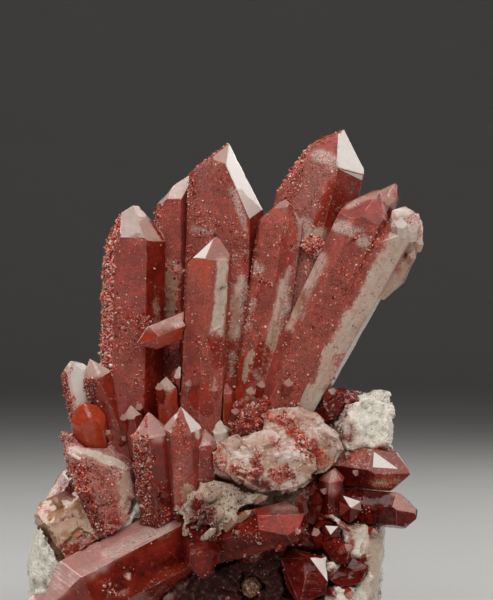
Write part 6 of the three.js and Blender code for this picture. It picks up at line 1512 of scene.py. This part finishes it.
# ------------------------------------------------------------------ skins
SHADED = {"low_bar", "right_upper_point", "right_lower_point", "right_stub_pair", "right_tiny_point", "right_dark_point", "shelf_bar", "corner_stub", "corner_wedge", "recess_nub", "hanging_point"}
FRONT = {"tall_fan", "left_tower", "long_crossing_point", "front_spears", "pale_lumps", "low_bar", "left_block", "left_trio", "right_upper_point", "right_lower_point"}
ROUND = {"pale_lumps": 2, "left_block": 1, "recess_nub": 5, "shelf_bar": 2}
WORN = {"left_trio": ("L3", 9)}
BROKEN = {"pale_lumps": (4.2, 0.62, 0.3), "left_block": (5.6, 0.7, 0.12), "recess_nub": (1.6, 0.2, 0.3), "shelf_bar": (2.6, 0.35, 0.3)}
sets = []
count = {}
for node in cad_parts:
    if node in ("matrix", "drusy_knot"):
        continue
    spacing = 0.8 if node in FRONT else 1.1
    if node in BROKEN:
        spacing = 0.42
    P, T, K, info = facets(node, spacing)
    T, K = clean(P, T, K)
    used = np.unique(T)
    back = np.full(len(P), -1)
    back[used] = np.arange(len(used))
    P, T = P[used], back[T]
    corner = T.reshape(-1)
    kc = np.repeat(K, 3)
    V, Z = np.zeros((len(corner), len(CH))), np.zeros((len(corner), 4))
    order = np.argsort(kc, kind="stable")
    cuts = np.searchsorted(kc[order], np.arange(len(info) + 1))
    for k, (c, key, edge) in enumerate(info):
        s = order[cuts[k] : cuts[k + 1]]
        if not len(s):
            continue
        pts = P[corner[s]]
        V[s] = channels(c, key, pts, edge)
        if "pts" in c:
            Z[s, 1], Z[s, 2] = pts[:, 0], pts[:, 2]
        else:
            foot, tip, w, e1, e2 = frame_of(c)
            g = pts - foot
            n = next(q[1] for q in c["planes"] if q[0] == key[:2])
            side = np.cross(w, n)
            Z[s, 1], Z[s, 2] = g @ side, g @ w
        Z[s, 3] = c["id"] * 50
    Z[:, 0] = V[:, CH.index("green")]
    if node in ROUND:
        P = rounded(P, T, ROUND[node])
    if node in WORN:
        # one crystal of the group is worn smooth
        worn = np.array([info[k][0]["n"] == WORN[node][0] for k in K])
        share = np.zeros(len(P))
        share[T[worn].reshape(-1)] = 1
        share[T[~worn].reshape(-1)] = 0
        P = P + (rounded(P, T, WORN[node][1]) - P) * share[:, None]
    N, fn = normals(P, T)
    low = noise(P, 5.0, 3, 2) - 0.5
    amp = 0.16 if node not in ROUND else 0.5
    P = P + N * (low * amp)[:, None]
    if node in BROKEN:
        cell, deep, small = BROKEN[node]
        h, gap = chips(P, cell, 61)
        h2, gap2 = chips(P + 40, cell * 0.42, 71)
        line = np.clip(1 - np.minimum(gap, gap2 * 1.6) / 0.07, 0, 1)
        pick = np.clip((noise(P, 3.0, 77, 2) - 0.5) * 8 + 0.5, 0, 1)
        P = P + N * (h * deep + h2 * deep * small - deep * 0.25)[:, None]
        line = line * (0.35 if node == "left_block" else 1)
        k = (line * pick * 0.75)[corner][:, None]
        V = V * (1 - k) + vec("white")[None] * k
        k = (line * (1 - pick) * 0.7)[corner][:, None]
        V = V * (1 - k) + vec("brown")[None] * k
    onedge = np.zeros(len(P), bool)
    for k, (c, key, edge) in enumerate(info):
        if edge:
            onedge[T[K == k].reshape(-1)] = True
    nib = np.clip((noise(P, 1.3, 41, 2) - 0.56) * 6, 0, 1) * np.clip((noise(P, 6.0, 43) - 0.45) * 5, 0, 1)
    P = P - N * (nib * onedge * 0.34)[:, None]
    P[:, 2] = np.maximum(P[:, 2], 0.05)
    o = mesh_object(node + "_skin", P, T, SHADED_QUARTZ if node in SHADED else QUARTZ)
    me = o.data
    if len(me.polygons) != len(T):
        raise RuntimeError("a triangle was lost in " + node)
    me.set_sharp_from_angle(angle=math.radians(17 if node not in ROUND and node not in WORN else 30))
    corner_colours(me, "za", V[:, :4])
    corner_colours(me, "zb", V[:, 4:8])
    corner_colours(me, "zc", Z)
    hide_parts(node)
    count[node] = len(T)
    g = planted(P, T, V, len(sets) + 3, 9000)
    if g:
        sets.append(g)

# ------------------------------------------------------------------ the knot of fine crystals at the foot of the fan
P, T, K, info = facets("drusy_knot", 0.9, bevel=0)
T, K = clean(P, T, K)
used = np.unique(T)
back = np.full(len(P), -1)
back[used] = np.arange(len(used))
P, T = rounded(P[used], back[T], 3), back[T]
N, fn = normals(P, T)
P = P + N * ((noise(P, 2.2, 8, 2) - 0.5) * 1.6)[:, None]
V = np.repeat(vec("kdruse")[None], len(T) * 3, 0)
o = mesh_object("drusy_knot_skin", P, T, QUARTZ)
corner_colours(o.data, "za", V[:, :4])
corner_colours(o.data, "zb", V[:, 4:8])
corner_colours(o.data, "zc", np.zeros((len(V), 4)))
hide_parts("drusy_knot")
g = planted(P, T, V, 90, 3000)
knots = [g]

# ------------------------------------------------------------------ matrix: a broken, pitted milky rock
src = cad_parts["matrix"].data.copy()
tmp = bpy.data.objects.new("matrix_work", src)
bpy.context.scene.collection.objects.link(tmp)
mod = tmp.modifiers.new("remesh", "REMESH")
mod.mode = "VOXEL"
mod.voxel_size = 0.0008
bpy.context.view_layer.update()
ev = tmp.evaluated_get(bpy.context.evaluated_depsgraph_get())
me = bpy.data.meshes.new_from_object(ev)
bm = bmesh.new()
bm.from_mesh(me)
bmesh.ops.triangulate(bm, faces=bm.faces)
P = np.array([v.co for v in bm.verts]) * 1000
T = np.array([[v.index for v in f.verts] for f in bm.faces])
bm.free()
bpy.data.objects.remove(tmp)
flat = P[:, 2] < 0.35
P = rounded(P, T, 1)
N, fn = normals(P, T)
smooth_zone = np.clip(1.4 - np.minimum(segment_distance(P, [(31, -4, 32), (31, -6, 8)]), segment_distance(P, [(-38, -4, 28), (-41, -4, 8)])) / 8.0, 0, 1) * 0.85
n1 = noise(P, 6.0, 11, 3) - 0.5
n2 = noise(P, 1.6, 12, 3) - 0.5
ridge = 1 - np.abs(noise(P, 3.4, 14, 2) * 2 - 1)
pit = np.clip((noise(P, 2.1, 13, 2) - 0.62) * 5, 0, 1)
h1, g1 = chips(P, 4.6, 81)
h2, g2 = chips(P + 30, 2.0, 91)
P = P + N * ((n1 * 1.0 + n2 * 0.6 - pit * 0.8 + h1 * 1.05 + h2 * 0.4 - 0.3) * (1 - smooth_zone))[:, None]
P[:, 2] = np.where(flat, 0.0, np.maximum(P[:, 2], 0.0))
V = np.zeros((len(P), len(CH)))
V[:] = vec("mrock")
wob = noise(P, 3.0, 21, 3) - 0.5
st = np.clip((noise(P, 4.5, 23, 3) - 0.60) * 9, 0, 0.85)[:, None]
V = V * (1 - st) + vec("mstain")[None] * st
SKY = [
    ("mstain", 1.0, 8.0, [(-6, -2, 40), (8, -2, 42), (22, 0, 44)]),
    ("mstain", 1.0, 6.5, [(17, -8, 34), (19, -8, 26), (22, -8, 18)]),
    ("mstain", 1.0, 5.5, [(-2, -10, 20), (12, -10, 20), (22, -10, 16)]),
    ("mstain", 0.8, 6.0, [(-20, 6, 38), (0, 12, 42), (20, 12, 40)]),
    ("mdirt", 1.0, 8.5, [(-9, -19, 33), (-3, -21, 28), (6, -20, 33), (12, -19, 34)]),
    ("soot", 1.0, 4.0, [(-5, -22, 31), (-3, -23, 24)]),
    # painted shade in the recess at the bottom front
    ("painted_recess_shade", 1.0, 11.0, [(-4, -8, 10), (8, -8, 10), (14, -6, 14)]),
    ("mstain", 0.9, 7.0, [(24, -4, 18), (26, -4, 26)]),
    ("mtan", 1.0, 9.0, [(31, -2, 30), (31, -4, 14)]),
    ("mtan", 1.0, 5.5, [(33, -6, 26), (34, -6, 14)]),
    ("mrock", 1.0, 9.0, [(34, -2, 50), (30, 0, 47)]),
    ("mstain", 0.8, 1.6, [(25, -10, 42), (29, -10, 40.5)]),
    ("mstain", 0.6, 1.2, [(24, -9, 47), (26, -9, 49)]),
    ("mglass", 1.0, 10.0, [(-38, -4, 28), (-41, -4, 8)]),
    ("mstain", 0.7, 5.0, [(10, 20, 30), (-10, 22, 28)]),
    ("mdirt", 0.8, 6.0, [(0, 28, 14), (18, 24, 12), (-20, 20, 14)]),
]
for st, w, r, pts in SKY:
    d = segment_distance(P, pts) + wob * 5
    m = np.clip((r * 1.2 - d) / (r * 0.4), 0, 1)
    m = (m * m * (3 - 2 * m) * w)[:, None]
    V = V * (1 - m) + vec(st)[None] * m
V[:, CH.index("dark")] = np.clip(V[:, CH.index("dark")] + pit * 0.6, 0, 1)
o = mesh_object("matrix_rock_mass", P, T, ROCK)
VC = V[T.reshape(-1)]
Z = np.zeros((len(VC), 4))
Z[:, 0] = VC[:, CH.index("green")]
Z[:, 1:3] = P[T.reshape(-1)][:, [0, 2]]
corner_colours(o.data, "za", VC[:, :4])
corner_colours(o.data, "zb", VC[:, 4:8])
corner_colours(o.data, "zc", Z)
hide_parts("matrix")
count["matrix"] = len(T)
VD = VC.copy()
low = P[T].mean(1)[:, 2] < 1.0
VD[np.repeat(low, 3), CH.index("druse")] = 0
g = planted(P, T, VD, 91, 9000)
rock = [g]

total = 0
small_crystals("small_points", SMALL)
sealed = []
for cen, face, rad, thick, kind, stretch in SEALED:
    sealed.append((cen, face, rad, thick, {"veil": (0.93, 0.84, 0.78), "red": (0.62, 0.07, 0.035), "black": (0.02, 0.008, 0.006), "gold": (0.72, 0.42, 0.20)}[kind], stretch))
flakes("sealed_flakes", sealed)
P, T = knob_mesh(*KNOB)
V = np.repeat(vec("knob")[None], len(T) * 3, 0)
o = mesh_object("drusy_knob", P, T, QUARTZ)
corner_colours(o.data, "za", V[:, :4])
corner_colours(o.data, "zb", V[:, 4:8])
corner_colours(o.data, "zc", np.zeros((len(V), 4)))
knots.append(planted(P, T, V, 93, 2500))
big = []
batch, n = [], 0
for s in sets:
    k = len(s[0]) * 15
    if n + k > 170000 and batch:
        big.append(batch)
        batch, n = [], 0
    batch.append(s)
    n += k
if batch:
    big.append(batch)
for i, b in enumerate(big):
    o = grains("druse_%s" % "abcdefghij"[i], b)
    total += len(o.data.polygons)
o = grains("druse_knot", knots)
total += len(o.data.polygons)
o = grains("druse_rock", rock)
total += len(o.data.polygons)
print("skins", sum(count.values()), "grains", total, count)

# ------------------------------------------------------------------ floor, light and camera
def floor():
    prof = [(-3.0, 0.0), (1.6, 0.0)]
    for k in range(1, 13):
        a = math.radians(90 * k / 12)
        prof.append((1.6 + 1.1 * math.sin(a), 1.1 - 1.1 * math.cos(a)))
    prof.append((2.7, 4.0))
    v, f = [], []
    for y, z in prof:
        v += [(-5, y, z), (5, y, z)]
    for i in range(len(prof) - 1):
        f.append((2 * i, 2 * i + 1, 2 * i + 3, 2 * i + 2))
    me = bpy.data.meshes.new("floor")
    me.from_pydata(v, [], f)
    me.shade_smooth()
    t = Tree("floor_paper")
    c = t.mix(t.noise(0.02, 3, 0.5), (0.50, 0.49, 0.475), (0.54, 0.53, 0.515))
    t.link(c, t.b.inputs["Base Color"])
    t.link(t.ramp(t.noise(0.5, 2, 0.5), 0.3, 0.7, 0.55, 0.7), t.b.inputs["Roughness"])
    me.materials.append(t.m)
    o = bpy.data.objects.new("floor", me)
    bpy.context.scene.collection.objects.link(o)


floor()


def softbox(name, az, el, dist, w, h, radiance, colour=(1, 1, 1), target=(0.0, 0.0, 0.062)):
    a, e = math.radians(az), math.radians(el)
    d = Vector((math.sin(a) * math.cos(e), -math.cos(a) * math.cos(e), math.sin(e)))
    l = bpy.data.lights.new(name, "AREA")
    l.shape = "RECTANGLE"
    l.size, l.size_y = w, h
    l.energy = radiance * math.pi * w * h
    l.color = colour
    o = bpy.data.objects.new(name, l)
    o.location = Vector(target) + d * dist
    o.rotation_mode = "QUATERNION"
    o.rotation_quaternion = (-d).to_track_quat("-Z", "Y")
    o.visible_camera = False
    bpy.context.scene.collection.objects.link(o)


softbox("light_top", -5, 76, 0.62, 0.36, 0.27, 3.8, (1, 0.985, 0.97))
softbox("light_right_back", 126, 30, 0.6, 0.56, 0.44, 2.3)
softbox("light_left", -110, 42, 0.6, 0.34, 0.34, 4.9)
softbox("light_key", 32, 42, 0.7, 0.34, 0.30, 4.4, (1, 0.98, 0.95))
softbox("light_front", -12, 36, 0.8, 0.60, 0.40, 2.7, (1, 0.98, 0.96))
world = bpy.data.worlds.new("studio")
world.use_nodes = True
world.node_tree.nodes["Background"].inputs[0].default_value = (1.0, 0.97, 0.94, 1)
world.node_tree.nodes["Background"].inputs[1].default_value = 0.06
bpy.context.scene.world = world
bpy.context.scene.view_settings.view_transform = "Standard"
bpy.context.scene.view_settings.look = "None"

cam = bpy.data.cameras.new("camera")
cam.lens, cam.sensor_width, cam.sensor_fit = 150, 36, "AUTO"
cam.clip_start, cam.clip_end = 0.05, 20
co = bpy.data.objects.new("camera", cam)
co.location = (0.0048375, -0.5625, 0.0765)
co.rotation_euler = (math.radians(90), 0, 0)
bpy.context.scene.collection.objects.link(co)
bpy.context.scene.camera = co
